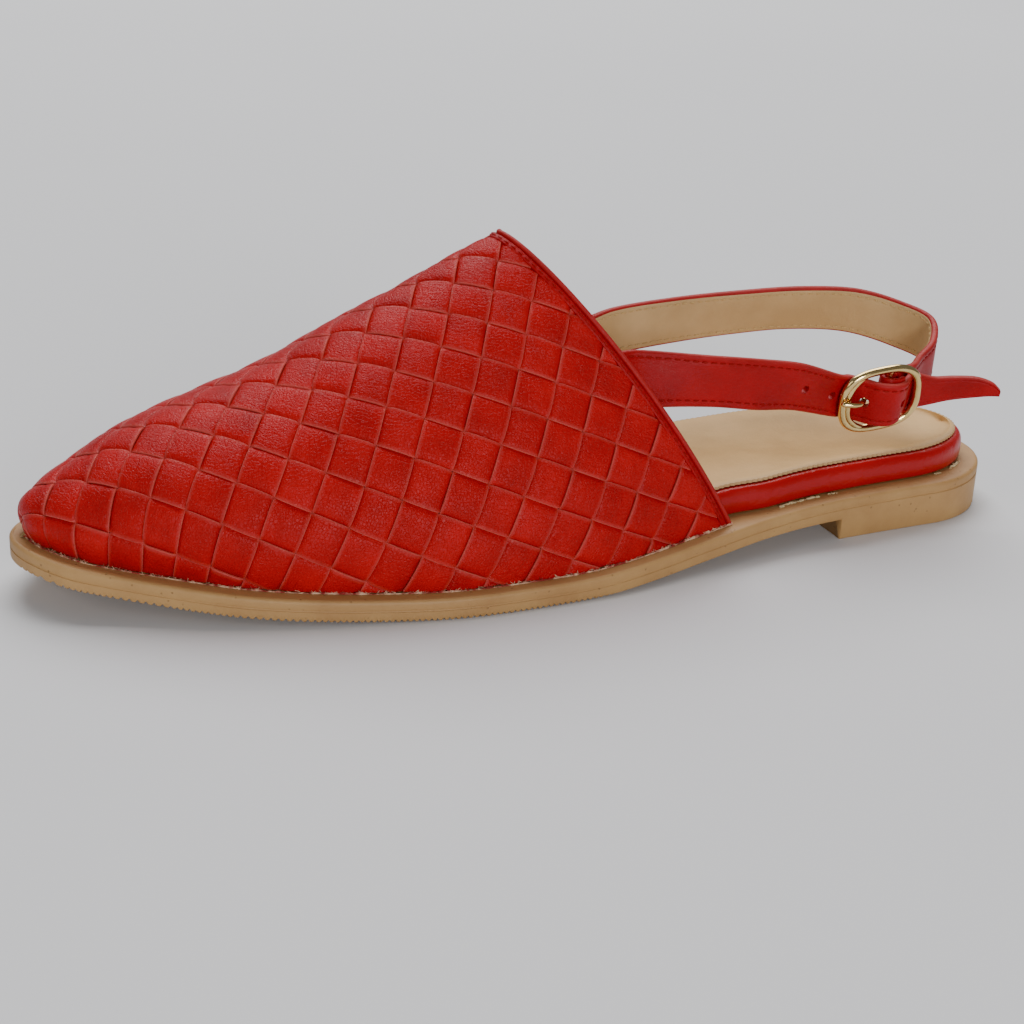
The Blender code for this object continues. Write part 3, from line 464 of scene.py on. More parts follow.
def outline(along, inset):
    """x, outer and inner half width of the sole at a share of its length, drawn in by inset."""
    widths = {"ball": BALL_WIDTH, "waist": WAIST_WIDTH, "heel": HEEL_WIDTH}
    follows = np.array([widths[row[OUTLINE_COLUMNS.index("follows")]] for row in OUTLINE])
    rows = column(OUTLINE, OUTLINE_COLUMNS, "along")
    outer = monotone(rows, follows * column(OUTLINE, OUTLINE_COLUMNS, "outer"), along)
    inner = monotone(rows, follows * column(OUTLINE, OUTLINE_COLUMNS, "inner"), along)
    x = (along - 0.5) * (LENGTH - 2 * inset)
    return x, (outer - inset) * cap_share(along), (inner - inset) * cap_share(along)


def side_line(x, shares):
    """A height along the side of the sole: named sizes times their columns of the side table."""
    along = np.clip(x / LENGTH + 0.5, 0, 1)
    heights = sum(size * column(SIDE, SIDE_COLUMNS, name) for name, size in shares)
    return monotone(column(SIDE, SIDE_COLUMNS, "along"), heights, along)


def underside(x):
    """Height of the sole's underside in front of the heel."""
    return side_line(x, (("spring", TOE_SPRING), ("heel", HEEL_HEIGHT)))


def ledge(x):
    """Height of the sole's upper face, which the vamp and the footbed stand on."""
    return underside(x) + SOLE_THICKNESS + side_line(x, (("rise", REAR_RISE),))


def even_shares(count):
    """Shares from 0 to 1, closer together at both ends."""
    return (1 - np.cos(np.linspace(0, np.pi, count))) / 2


def plan_ring(along, inset):
    """x and y of a closed ring round the sole: along its outer side and back along its inner side."""
    x, outer, inner = outline(along, inset)
    there = np.stack([x, -outer], axis=1)
    back = np.stack([x, inner], axis=1)[-2:0:-1]
    return np.concatenate([there, back])


def stacked(rings, face_height, across):
    """Points and faces of rings in plan, one above the other, closed below and above by faces ruled across.

    face_height holds the heights of both faces as functions of x, y and the share across from -1 to 1.
    """
    size = len(rings[0])
    half = size // 2
    points = [np.concatenate(rings)]
    faces = grid_faces(len(rings), size, around=True)
    first = len(points[0])
    last = (len(rings) - 1) * size
    for ring, height, start in ((rings[0], face_height[0], 0), (rings[-1], face_height[1], last)):
        near, far = ring[1:half], ring[-1:half:-1]
        share = np.linspace(0, 1, across + 1)[None, 1:-1, None]
        inside = near[:, None] + (far - near)[:, None] * share
        inside[..., 2] = height(inside[..., 0], inside[..., 1], 2 * share[..., 0] - 1)
        numbers = first + np.arange(inside.shape[0] * inside.shape[1]).reshape(inside.shape[:2])
        table = np.concatenate(
            [start + np.arange(1, half)[:, None], numbers, start + size - np.arange(1, half)[:, None]], axis=1
        )
        quads = np.stack([table[:-1, :-1], table[:-1, 1:], table[1:, 1:], table[1:, :-1]], axis=-1)
        faces += quads.reshape(-1, 4).tolist()
        for tip, row in ((start, table[0]), (start + half, table[-1])):
            faces += [[tip, int(row[k]), int(row[k + 1])] for k in range(len(row) - 1)]
        points.append(inside.reshape(-1, 3))
        first += inside.shape[0] * inside.shape[1]
    return np.concatenate(points), faces


def tread(x, y):
    """Depth of the cuts under the sole.

    In front they are the fourth power of a cosine along x, whose phase zigzags across, so that round ribs
    stand between narrow cuts; under the heel they are a few wider bars that stop short of its edge.
    """
    fore = ease((0.03 * LENGTH - x) / (0.06 * LENGTH))
    heel = ease((x - 0.33 * LENGTH) / (0.01 * LENGTH)) * (1 - ease((x - 0.475 * LENGTH) / (0.01 * LENGTH)))
    ribs = np.cos(np.pi * (x / TREAD_PITCH + 1.2 * zigzag(y / TREAD_WAVE))) ** 4
    bars = ease(6 * zigzag(x / HEEL_BAR_PITCH) - 4.2)
    return TREAD_DEPTH * fore * ribs + HEEL_BAR_DEPTH * heel * bars * ease(9 - np.abs(y) / 0.0024)


def make_outsole(made_of):
    """The moulded sole: rings of its outline for underside, groove and rounded top edge, over a ribbed face.

    The underside follows toe spring and waist up to the breast, where its height drops to the heel's.
    """
    breast = BREAST_SHARE
    along = even_shares(1250)
    along = np.sort(np.concatenate([along[np.abs(along - breast) > 2e-4], [breast - 1e-6, breast + 1e-6]]))

    def bottom(x):
        return np.where(x > (breast - 0.5) * LENGTH, 0.0, underside(x))

    def place(inset, height):
        flat = plan_ring(along, inset)
        x = plan_ring(along, 0.0)[:, 0]
        return np.column_stack([flat, height(x, flat[:, 1])])

    def wall(share):
        return lambda x, y: bottom(x) + share * (ledge(x) - UPPER_BAND - GROOVE - bottom(x))

    edge = SOLE_FOOT_ROUND
    rings = [
        place(edge, lambda x, y: bottom(x) + tread(x, y)),
        place(0.3 * edge, lambda x, y: bottom(x) + np.maximum(0.3 * edge, 1.05 * tread(x, y))),
        place(0.0, lambda x, y: bottom(x) + np.maximum(edge, 1.15 * tread(x, y))),
        place(0.0, wall(0.62)),
        place(0.0, wall(0.9)),
    ]
    for turn in np.linspace(0, np.pi, 7):
        drop = UPPER_BAND + GROOVE / 2 * (1 + np.cos(turn))
        rings.append(place(SIDE_LINE * np.sin(turn) ** 0.7, lambda x, y, d=drop: ledge(x) - d))
    rings.append(place(0.0, lambda x, y: ledge(x) - 0.5 * (UPPER_BAND + SOLE_ROUND)))
    for turn in np.linspace(0, np.pi / 2, 5):
        inset, drop = SOLE_ROUND * (1 - np.cos(turn)), SOLE_ROUND * (1 - np.sin(turn))
        rings.append(place(inset, lambda x, y, d=drop: ledge(x) - d))
    faces_at = (lambda x, y, s: bottom(x) + tread(x, y), lambda x, y, s: ledge(x))
    points, faces = stacked(rings, faces_at, 22)
    return piece("sole", points, faces, made_of, "sole_rubber", ("outsole",), sharp=50)


def vamp_end():
    """x where the topline comes down to the sole."""
    x = np.linspace(-0.2 * LENGTH, 0.4 * LENGTH, 2000)
    run = x * np.cos(VAMP_SLOPE) + (ledge(x) + GAP) * np.sin(VAMP_SLOPE)
    return np.interp(toe_run() + VAMP_LENGTH + TOPLINE_BOW, run, x)


def toe_run():
    """Distance along the vamp's slope at the tip of its feather edge."""
    x = -0.5 * LENGTH + LEDGE
    return x * np.cos(VAMP_SLOPE) + (ledge(x) + GAP) * np.sin(VAMP_SLOPE)


def rim_inset(along):
    """Inset of the footbed: inside the vamp's wall in front, near the sole's edge behind it."""
    x = (along - 0.5) * LENGTH
    inside = LEDGE + STRIP_RISE + WALL + BINDING_EXTRA + 2 * GAP
    return inside + (FOOTBED_REAR_INSET - inside) * ease((x - vamp_end() - 0.001) / 0.016)


def rim_height(x):
    """Height of the footbed over the ledge, thinner towards the toe."""
    return RIM_HEIGHT + (FOOTBED_TOE_HEIGHT - RIM_HEIGHT) * ease((vamp_end() - x) / (0.4 * LENGTH))


def footbed_top(x, across):
    """Height of the footbed's upper face, cupped under the heel."""
    cup = HEEL_CUP * ease((x - 0.1 * LENGTH) / (0.2 * LENGTH)) * (1 - across**2)
    return ledge(x) + GAP + rim_height(x) - cup


def make_footbed(made_of):
    """The wrapped board: a superellipse roll for its rim, carried round the sole, over a straight foot."""
    along = even_shares(420)
    rings = [np.column_stack([plan_ring(along, rim_inset(along) + 0.5 * RIM_ROLL),
                              ledge(plan_ring(along, 0.0)[:, 0]) + GAP])]
    for turn in np.linspace(-0.5, 0.5, 15) * np.pi:
        inward = RIM_ROLL * (1 - np.abs(np.cos(turn)) ** 0.75)
        share = 0.5 + 0.5 * np.sign(turn) * np.abs(np.sin(turn)) ** 0.9
        flat = plan_ring(along, rim_inset(along) + inward * (1.0 if turn > 0 else 0.35))
        x = plan_ring(along, 0.0)[:, 0]
        rings.append(np.column_stack([flat, ledge(x) + GAP + share * rim_height(x)]))
    faces_at = (lambda x, y, s: ledge(x) + GAP, lambda x, y, s: footbed_top(x, s))
    points, faces = stacked(rings, faces_at, 8)
    return piece("footbed_wrap", points, faces, made_of, "wrap_leather", ("footbed",))


def make_insole(made_of):
    """The sock: a thin sheet on the footbed with a zigzag edge, soft hollows and the foot's faint dents."""
    along = even_shares(900)
    plain = plan_ring(along, rim_inset(along) + RIM_ROLL)
    run = run_of(np.concatenate([plain, plain[:1]]))[:-1]
    teeth = zigzag(run / PINK_PITCH)
    tight = plan_ring(along, rim_inset(along) + RIM_ROLL + PINK_DEPTH)
    edge = plain + (tight - plain) * teeth[:, None]
    inner = plan_ring(along, rim_inset(along) + RIM_ROLL + 3.2 * PINK_DEPTH)
    x = plan_ring(along, 0.0)[:, 0]

    def dents(x, y):
        long_waves = np.sin(61 * x + 40 * y + 1.1) * np.sin(95 * x - 120 * y)
        short_waves = 0.6 * np.sin(170 * x + 210 * y + 0.4)
        heel = np.exp(-(((x - 0.098) / 0.022) ** 2 + (y / 0.017) ** 2))
        return 0.00016 * (long_waves + short_waves) - 0.0005 * heel

    low = footbed_top(x, 1.0) + GAP
    rings = [
        np.column_stack([edge, low]),
        np.column_stack([edge, low + 0.75 * INSOLE_THICKNESS]),
        np.column_stack([inner, low + INSOLE_THICKNESS]),
    ]
    faces_at = (
        lambda x, y, s: footbed_top(x, s) + GAP,
        lambda x, y, s: footbed_top(x, s) + GAP + INSOLE_THICKNESS + dents(x, y) * (1 - s**8),
    )
    points, faces = stacked(rings, faces_at, 26)
    worn = np.zeros(len(points))
    worn[: 2 * len(edge)] = 1.0
    return piece("sock", points, faces, made_of, "sock_leather", ("insole",), {"edge": worn})


# Vamp

def vamp_section(run_share, turn):
    """Points of the vamp's outer form.

    run_share is the share of the way from toe tip to topline along the slope; turn goes from 0 at the outer
    feather edge over the ridge to pi at the inner one. A section is a superellipse, square to the slope.
    """
    along = even_shares(600)
    x, outer, inner = outline(along, LEDGE)
    z = ledge(x) + GAP
    slope, rise = np.cos(VAMP_SLOPE), np.sin(VAMP_SLOPE)
    edge_run, edge_level = x * slope + z * rise, z * slope - x * rise
    side = np.abs(np.cos(turn))
    length = VAMP_LENGTH + TOPLINE_BOW * side * (1 + side) / 2
    run = edge_run[0] + run_share * length
    share = (run - edge_run[0]) / VAMP_LENGTH
    rows = np.sqrt(column(RIDGE, RIDGE_COLUMNS, "along"))
    height = INSTEP * monotone(rows, column(RIDGE, RIDGE_COLUMNS, "height"), np.sqrt(share))
    power = 2 / (TOE_FULLNESS + (INSTEP_FULLNESS - TOE_FULLNESS) * np.minimum(share, 1))
    half = np.where(np.cos(turn) > 0, np.interp(run, edge_run, outer), np.interp(run, edge_run, inner))
    half = half + SIDE_BULGE * np.minimum(6 * share, 1) * np.sin(2 * np.minimum(turn, np.pi - turn))
    level = np.interp(run, edge_run, edge_level) + height * np.abs(np.sin(turn)) ** power
    y = APEX_TO_INNER * np.sin(turn) ** 2 - np.sign(np.cos(turn)) * half * side**power
    return np.stack([run * slope - level * rise, y, run * rise + level * slope], axis=-1)


def vamp_form(step=0.0006):
    """The vamp's form as a flat pattern: a runs from the topline to the toe, g from the ridge to both sides.

    Both are lengths on the form. Past the feather edge it goes straight on, so that it can be read there.
    """
    root = np.linspace(0, 1.06, 400)
    turn = np.linspace(0, np.pi, 321)
    points = vamp_section(root[:, None] ** 2, turn[None, :] + 0 * root[:, None])
    mid = len(turn) // 2
    hops = np.linalg.norm(np.diff(points, axis=1), axis=2)
    girth = np.concatenate([np.zeros((len(root), 1)), np.cumsum(hops, axis=1)], axis=1)
    girth -= girth[:, mid : mid + 1]
    reach = np.ceil(np.abs(girth).max() / step) * step + 16 * step
    g = np.arange(-reach, reach + step / 2, step)
    down = np.array([np.sin(VAMP_SLOPE), 0, -np.cos(VAMP_SLOPE)])
    grid = np.empty((len(root), len(g), 3))
    for i, row in enumerate(girth):
        grid[i] = np.stack([np.interp(g, row, points[i, :, k]) for k in range(3)], axis=1)
        past = np.maximum(row[0] - g, 0) + np.maximum(g - row[-1], 0)
        grid[i] += past[:, None] * down
    hops = np.linalg.norm(np.diff(grid, axis=0), axis=2)
    run = np.concatenate([np.zeros((1, len(g))), np.cumsum(hops, axis=0)])
    at_top = np.array([np.interp(1.0, root, run[:, k]) for k in range(len(g))])
    a_rows = at_top - run
    a = np.arange(-8 * step, a_rows.max(), step)
    form = np.empty((len(a), len(g), 3))
    for k in range(len(g)):
        for axis in range(3):
            form[:, k, axis] = np.interp(a, a_rows[::-1, k], grid[::-1, k, axis])
    out = unit(np.cross(np.gradient(form, axis=1), np.gradient(form, axis=0)))
    found = {"a": a, "g": g, "points": form, "out": out}
    for side, end in (("outer", 0), ("inner", -1)):
        edge_a = np.array([np.interp(girth[i, end], g, a_rows[i]) for i in range(len(root))])
        found[side] = (edge_a, girth[:, end])
    return found


def read_form(form, a, g, lift):
    """Points at the pattern places (a, g), lifted off the form, and never under the sole's ledge."""
    i = np.clip((a - form["a"][0]) / (form["a"][1] - form["a"][0]), 0, len(form["a"]) - 1.001)
    j = np.clip((g - form["g"][0]) / (form["g"][1] - form["g"][0]), 0, len(form["g"]) - 1.001)
    low_i, low_j = i.astype(int), j.astype(int)
    u, w = (i - low_i)[..., None], (j - low_j)[..., None]

    def blend(grid):
        near = grid[low_i, low_j] * (1 - w) + grid[low_i, low_j + 1] * w
        far = grid[low_i + 1, low_j] * (1 - w) + grid[low_i + 1, low_j + 1] * w
        return near * (1 - u) + far * u

    spots = blend(form["points"]) + np.asarray(lift)[..., None] * unit(blend(form["out"]))
    spots[..., 2] = np.maximum(spots[..., 2], ledge(spots[..., 0]) + GAP)
    return spots


def side_pull(g):
    """How far the sheet is drawn back at the sides, for a pull of 1."""
    return np.sqrt(g**2 + PULL_RADIUS**2) - PULL_RADIUS


def from_weave(p, q):
    """Weave place to pattern place: p counts the strips of one set, q those of the other.

    Places far outside the pattern piece are held back, so that they settle outside it as well.
    """
    long = ((p + q) / 2 - LONG_PHASE) * CELL_LONG
    wide = ((p - q) / 2 - WIDE_PHASE) * CELL_WIDE
    a = long
    for _ in range(20):
        g = wide / (1 - TOE_GATHER * a / VAMP_LENGTH)
        drawn = side_pull(np.clip(g, -0.2, 0.2))
        a = np.clip((long + SIDE_PULL * drawn) / (1 - TOE_PULL * drawn / VAMP_LENGTH), -0.2, 0.2)
    return a, g


def edge_g(form, side, a):
    """g of a feather edge of the pattern at a."""
    edge_a, edge = form[side]
    return np.interp(-a, -edge_a, edge)


def inside_by(form, a, g):
    """How far a pattern place lies inside the pattern piece; below 0 it is outside."""
    return np.minimum(a - STRIP_TRIM, np.minimum(g - edge_g(form, "outer", a), edge_g(form, "inner", a) - g))


def strip_patches(form, place):
    """The parts of a strip that lie inside the pattern piece, each as rows of lateral place, start and stop.

    The waist draws the piece in, so a line of the weave can cross it twice; stretches of neighbouring
    lines belong to one part where they lie beside each other, the longest first.
    """
    step, laterals = 0.02, np.linspace(-0.56, 0.56, 57)
    at = np.arange(WEAVE_LINES[0] - 2, WEAVE_LINES[-1] + 3, step)
    depth = inside_by(form, *place(at[:, None] + 0 * laterals, laterals[None, :]))
    patches = []
    for k, line in enumerate(depth.T):
        turns = np.flatnonzero(np.diff((line > 0).astype(int)))
        turns = turns[: len(turns) // 2 * 2]
        ends = at[turns] + step * line[turns] / (line[turns] - line[turns + 1])
        for start, stop in sorted(ends.reshape(-1, 2), key=lambda pair: pair[0] - pair[1]):
            row = (k, laterals[k], start, stop)
            for patch in patches:
                if patch[-1][0] == k - 1 and start < patch[-1][3] and patch[-1][2] < stop:
                    patch.append(row)
                    break
            else:
                patches.append([row])
    return [np.array(patch).T[1:] for patch in patches if len(patch) > 3]


def strip_profile():
    """A strip's section as places across (of a half width, and as a step in metres), height and edge mark;
    the edge mark is where a pale highlight is painted.

    The top is crowned by the square of the place across, its corners are quarter circles, its foot is level.
    """
    rows = [(t, 0.0, -STRIP_CROWN * t * t, 4 * max(0.0, abs(t) - 0.9)) for t in np.linspace(-1, 1, 13)]
    right = [(1.0, STRIP_EDGE * np.sin(t), -STRIP_CROWN - STRIP_EDGE * (1 - np.cos(t)), 1.0)
             for t in np.radians((30, 60, 90))]
    right.append((1.0, STRIP_EDGE, -STRIP_THICKNESS, 1.0))
    under = [(0.4, 0.0, -STRIP_THICKNESS, 0.0), (-0.4, 0.0, -STRIP_THICKNESS, 0.0)]
    left = [(-t, -step, up, mark) for t, step, up, mark in right[::-1]]
    return np.array(rows + right + under + left).T


def hump(share):
    """Height of a strip over a crossing: mostly a steep-sided flat top, and a little of a parabola."""
    away = np.abs(2 * share - 1)
    return 0.82 * (1 - away**7) + 0.18 * (1 - away**2)


def woven_set(form, along_p, made_of, name, stands_for=()):
    """One set of strips, each a ribbon carried along its line of the weave.

    Seen along its run a strip rises over one crossing and dips under the next: its height is hump()
    of the way through the crossing, and it is a little wider where it lies on top.
    """
    rng = np.random.default_rng(11 if along_p else 23)
    odds = [rng.normal(0, (0.008, 0.00003, 0.005)) for _ in WEAVE_LINES]
    parts, pattern, edges = [], [], []

    def crossing(number, at):
        """Whether the strip lies on top there, and the hump of its way through the crossing."""
        cell = np.floor(at + 1e-9)
        return (cell + number) % 2 == (1 if along_p else 0), hump(at - cell)

    def place(number, at, lateral):
        line = number + 0.5 + lateral + 0 * at
        return from_weave(at, line) if along_p else from_weave(line, at)

    across, step, up, mark = strip_profile()
    for number, (drift, lift, wide) in zip(WEAVE_LINES, odds):
        for lateral, starts, stops in strip_patches(form, lambda at, side: place(number, at, side)):
            low, high = np.floor(starts.min() * STRIP_ROWS), np.ceil(stops.max() * STRIP_ROWS)
            at = np.arange(low, high + 0.5) / STRIP_ROWS
            over, rise = crossing(number, at)
            half = 0.5 * (STRIP_FILL + wide + np.where(over, STRIP_SWELL, -STRIP_PINCH) * rise)
            spot = (half[:, None] - STRIP_EDGE / CELL) * across + step / CELL + drift
            spot = np.clip(spot, lateral[0], lateral[-1])
            run = np.clip(at[:, None], np.interp(spot, lateral, starts), np.interp(spot, lateral, stops))
            over, rise = crossing(number, run)
            height = np.where(over, STRIP_RISE, -STRIP_DIP) * rise + lift
            parts.append(lofted(read_form(form, *place(number, run, spot), height + up - STRIP_SINK)))
            layer = np.full(run.shape, 0.037 * number + (0.5 if along_p else 0.9))
            pattern.append(np.stack([run * CELL, spot * CELL, layer], axis=-1).reshape(-1, 3))
            # The edge mark paints a pale highlight on each strip's rounded edges and sides.
            edges.append(np.broadcast_to(mark, run.shape).ravel())
    points, faces = joined(parts)
    marks = {"pattern": np.concatenate(pattern), "edge": np.concatenate(edges)}
    return piece(name, points, faces, made_of, "woven_leather", stands_for, marks, sharp=60)


def make_layer(form, name, made_of, slot, top, foot):
    """A closed sheet under the strips, from topline to toe: the form at two depths, joined round its edge."""
    rows, columns = 150, 120
    toe = max(form["outer"][0].max(), form["inner"][0].max())
    a = 0.0004 + (toe - 0.0004) * (1 - np.linspace(1, 0, rows)[:, None] ** 2)
    share = np.linspace(0, 1, columns)[None, :]
    left, right = edge_g(form, "outer", a), edge_g(form, "inner", a)
    g = left + (right - left) * share
    outer = read_form(form, a + 0 * g, g, top + 0 * g)
    inner = read_form(form, a + 0 * g, g, foot + 0 * g)
    return piece(name, *lofted(np.concatenate([outer, inner[:, ::-1]], axis=1)), made_of, slot)


def make_binding(form, made_of):
    """The topline's binding: a bead along the edge, a dip and a stitched band, carried from sole to sole."""
    bead = [(0.62 + 0.78 * np.cos(t), -0.12 + 0.88 * np.sin(t)) for t in np.linspace(-0.15, 1.0, 11) * np.pi]
    profile = np.array(BINDING_OUTSIDE + bead + BINDING_INSIDE) * MM
    share = np.linspace(0, 1, 520)[:, None]
    a = profile[None, :, 0] + 0 * share
    left, right = edge_g(form, "outer", a), edge_g(form, "inner", a)
    g = left + (right - left) * share
    puckers = 0.00004 * np.sin(2 * np.pi * share * 92) * (profile[None, :, 0] > 0.0017)
    points = read_form(form, a, g, profile[None, :, 1] + puckers)
    length = run_of(points[:, 12])[-1]
    pattern = np.stack([share * length + 0 * a, a, 0 * a + 0.2], axis=-1).reshape(-1, 3)
    # The bead's crest is marked as an edge, where a pale highlight is painted.
    edge = np.broadcast_to(np.exp(-(((profile[:, 0] - 0.0006) / 0.0005) ** 2)), a.shape).ravel()
    return piece("topline_band", *lofted(points), made_of, "strap_leather", ("topline_binding",),
                 {"pattern": pattern, "edge": edge * 0.5})


def make_binding_stitches(form, made_of):
    """The seam along the topline: one thread capsule every stitch, lying on the band."""
    share = np.linspace(0.004, 0.996, 900)
    a = np.full(900, 0.00235)
    left, right = edge_g(form, "outer", a), edge_g(form, "inner", a)
    g = left + (right - left) * share
    on, off = read_form(form, a, g, 0.00044 + 0 * a), read_form(form, a, g, 0.0014 + 0 * a)
    run = run_of(on)
    at = np.arange(STITCH_PITCH, run[-1] - STITCH_PITCH / 2, STITCH_PITCH)
    spots, outs = read_path(on, run, at), unit(read_path(off - on, run, at))
    ways = unit(read_path(np.gradient(on, axis=0), run, at))
    points, faces = stitches(spots, ways, outs, STITCH_LENGTH, STITCH_WIDTH)
    return piece("topline_stitches", points, faces, made_of, "strap_leather")


def feather_path(count, inset):
    """The line where vamp and sole meet: along the outer side to the toe and back along the inner side."""
    end = vamp_end() / (LENGTH - 2 * inset) + 0.5
    along = end * (1 - np.cos(np.linspace(0, np.pi / 2, count // 2)))
    x, outer, inner = outline(along, inset)
    there = np.stack([x, -outer, ledge(x)], axis=1)[::-1]
    back = np.stack([x, inner, ledge(x)], axis=1)[1:]
    path = np.concatenate([there, back])
    return path, run_of(path)


def make_feather(made_of):
    """The rough line of glue and raised fibres at the vamp's foot: a bead of uneven size, and short hairs."""
    rng = np.random.default_rng(5)
    path, run = feather_path(1400, LEDGE - 0.00055)
    at = np.linspace(0, run[-1], 1500)
    line = read_path(path, run, at)
    noise = np.interp(at, np.linspace(0, run[-1], 420), rng.random(420))
    slow = np.interp(at, np.linspace(0, run[-1], 40), rng.random(40))
    line[:, 2] += 0.00010 + 0.00030 * noise * slow
    size = 0.00010 + 0.00034 * noise**2 * (0.25 + slow)
    parts = [tube(line, size, 6, (0.0, 0.0, 1.0))]
    count = 620
    spots = read_path(path, run, rng.random(count) * run[-1])
    spots[:, 2] += 0.0002 + 0.0005 * rng.random(count)
    ways = unit(rng.normal(0, 1, (count, 3)) * (1.0, 1.0, 0.7))
    outs = unit(np.cross(ways, rng.normal(0, 1, (count, 3))))
    parts.append(stitches(spots, ways, outs, 0.0013, 0.00013))
    points, faces = joined(parts)
    return piece("feather_line", points, faces, made_of, "woven_leather")


def make_glue(made_of):
    """Dried glue on the ledge behind the vamp: flat drops, spheres pressed down and made uneven by sines."""
    rise, turn = np.linspace(0, np.pi, 9)[:, None], (np.arange(14) * 2 * np.pi / 14)[None, :]
    parts = []
    rng = np.random.default_rng(8)
    for along, side, size in GLUE:
        for _ in range(GLUE_DROPS):
            beside = along + rng.normal(0, 1.4) * size / LENGTH
            beside = np.array([beside])
            x, outer, inner = outline(beside, rim_inset(beside) - rng.uniform(0, 0.0006))
            y = -outer[0] if side < 0 else inner[0]
            three, five = (np.sin(lobes * turn + rng.uniform(0, 6)) for lobes in (3, 5))
            uneven = 1 + 0.25 * three + 0.2 * five
            ball = np.stack([np.sin(rise) * np.cos(turn) * uneven, 0.6 * np.sin(rise) * np.sin(turn) * uneven,
                             0.5 * np.cos(rise) + 0 * turn], axis=-1) * size * rng.uniform(0.25, 0.75)
            parts.append((ball + np.array([x[0], y, ledge(x)[0] + 0.0002]), grid_faces(9, 14, around=True)))
    points, faces = joined(parts)
    return piece("glue_drops", points, faces, made_of, "sole_rubber")


# Straps

def wall_y(x, z, side, depth):
    """y of the vamp's side wall at (x, z), depth inside its outer form; side is -1 outer, 1 inner."""

    def outside(x, z):
        turn = np.linspace(0.02, np.pi / 2, 400)
        turn = turn if side < 0 else np.pi - turn
        slope, rise = np.cos(VAMP_SLOPE), np.sin(VAMP_SLOPE)
        run, level = x * slope + z * rise, z * slope - x * rise
        bow = np.abs(np.cos(turn))
        length = VAMP_LENGTH + TOPLINE_BOW * bow * (1 + bow) / 2
        spots = vamp_section((run - toe_run()) / length, turn)
        levels = spots[:, 2] * slope - spots[:, 0] * rise
        return np.interp(level, levels, spots[:, 1])

    tiny = 0.0005
    y = outside(x, z)
    by_x, by_z = (outside(x + tiny, z) - y) / tiny, (outside(x, z + tiny) - y) / tiny
    return y - side * depth * np.sqrt(1 + by_x**2 + by_z**2)


def anchor_x(z):
    """x of the topline in side view at height z."""
    line = vamp_section(np.ones(200), np.linspace(0.05, np.pi / 2, 200))
    return np.interp(z, line[:, 2], line[:, 0])


def anchor_rows(side, exit_z, slope):
    """Lower, middle and upper points of a strap's hidden end, which lies against the vamp's inner wall."""
    depth = STRIP_RISE + WALL + BINDING_EXTRA + 2.5 * GAP + STRAP_THICKNESS / 2
    rows = []
    for back in np.linspace(ANCHOR_LENGTH, 0, 5):
        x, z = anchor_x(exit_z) - back, exit_z - slope * back
        levels = [z + share * STRAP_WIDTH for share in (-0.5, 0.0, 0.5)]
        rows.append([(x, wall_y(x, level, side, depth), level) for level in levels])
    return rows


def run_rows(table):
    """Lower, middle and upper points of a strap's free run, from its table."""
    rows = []
    for x, z, upper_y, lower_y in table:
        low = np.array([x * LENGTH, lower_y * HEEL_WIDTH, z * STRAP_HEIGHT - STRAP_WIDTH / 2])
        high = np.array([x * LENGTH, upper_y * HEEL_WIDTH, z * STRAP_HEIGHT + STRAP_WIDTH / 2])
        rows.append([low, (low + high) / 2, high])
    return rows


def buckle_axes():
    """Centre of the buckle and its three directions: along the strap, out of the frame, across the strap."""
    along = np.array([np.cos(BUCKLE_TURN), np.sin(BUCKLE_TURN), 0.0])
    up, out = np.array([0.0, 0.0, 1.0]), np.array([np.sin(BUCKLE_TURN), -np.cos(BUCKLE_TURN), 0.0])
    across = np.cos(BUCKLE_LEAN) * up + np.sin(BUCKLE_LEAN) * out
    facing = np.cos(BUCKLE_LEAN) * out - np.sin(BUCKLE_LEAN) * up
    return np.array([BUCKLE_X, -BUCKLE_OUT, BUCKLE_Z]), along, facing, across


def in_buckle(u, w, h=0.0):
    """World points from places in the buckle: along the strap, out of the frame, across the strap."""
    centre, along, facing, across = buckle_axes()
    u, w, h = (np.asarray(k, float)[..., None] for k in (u, w, h))
    return centre + u * along + w * facing + h * across


def buckle_row(u, w, rise=0.0, width=None):
    """Lower, middle and upper points of a strap at a place in the buckle."""
    half = (width or STRAP_WIDTH) / 2
    return [in_buckle(u, w, rise + share * half) for share in (-1, 0, 1)]


def side_bar_u():
    """Distance of the frame's end bars from its centre."""
    return FRAME_LENGTH / 2 - FRAME_WIRE / 2


def fold_radius():
    """Outer radius of the strap's fold round the middle bar."""
    return BAR_WIRE / 2 + GAP + FOLD_THICKNESS


def under_bar():
    """Depth of a strap's middle where it passes behind an end bar."""
    return FRAME_WIRE / 2 + 1.5 * GAP + STRAP_THICKNESS / 2


def front_rows():
    """Rows of the punched strap: wall, free run, behind, over and behind the buckle's bars, and the tail."""
    rows = anchor_rows(-1, FRONT_EXIT, FRONT_CLIMB) + run_rows(FRONT_RUN)
    crest = fold_radius() + GAP + STRAP_THICKNESS / 2
    deep = under_bar()
    for away, over in [(-away, over) for away, over in THREAD] + THREAD[-2::-1]:
        u = BAR_SHIFT + abs(away) * (np.copysign(side_bar_u(), away) - BAR_SHIFT)
        width = THREAD_WIDTH - THREAD_TAPER * max(away, 0)
        rows.append(buckle_row(u, over * (crest + deep) - deep, 0.0, width * STRAP_WIDTH))
    for along, out, up, width in TAIL:
        rows.append(buckle_row(along * TAIL_LENGTH, out * STRAP_WIDTH, up * STRAP_WIDTH, width * STRAP_WIDTH))
    return rows


def sling_rows():
    """Rows of the heel strap: wall, round the heel, and behind the buckle to its middle bar."""
    rows = anchor_rows(1, SLING_EXIT, SLING_CLIMB) + run_rows(HEEL_RUN)
    deep = under_bar() + STRAP_THICKNESS + GAP
    for u, w in ((side_bar_u(), -deep - GAP), (0.55 * side_bar_u(), -0.78 * deep)):
        rows.append(buckle_row(u, w))
    rows.append(buckle_row(BAR_SHIFT + BAR_WIRE, -fold_radius() + STRAP_THICKNESS / 2))
    return rows


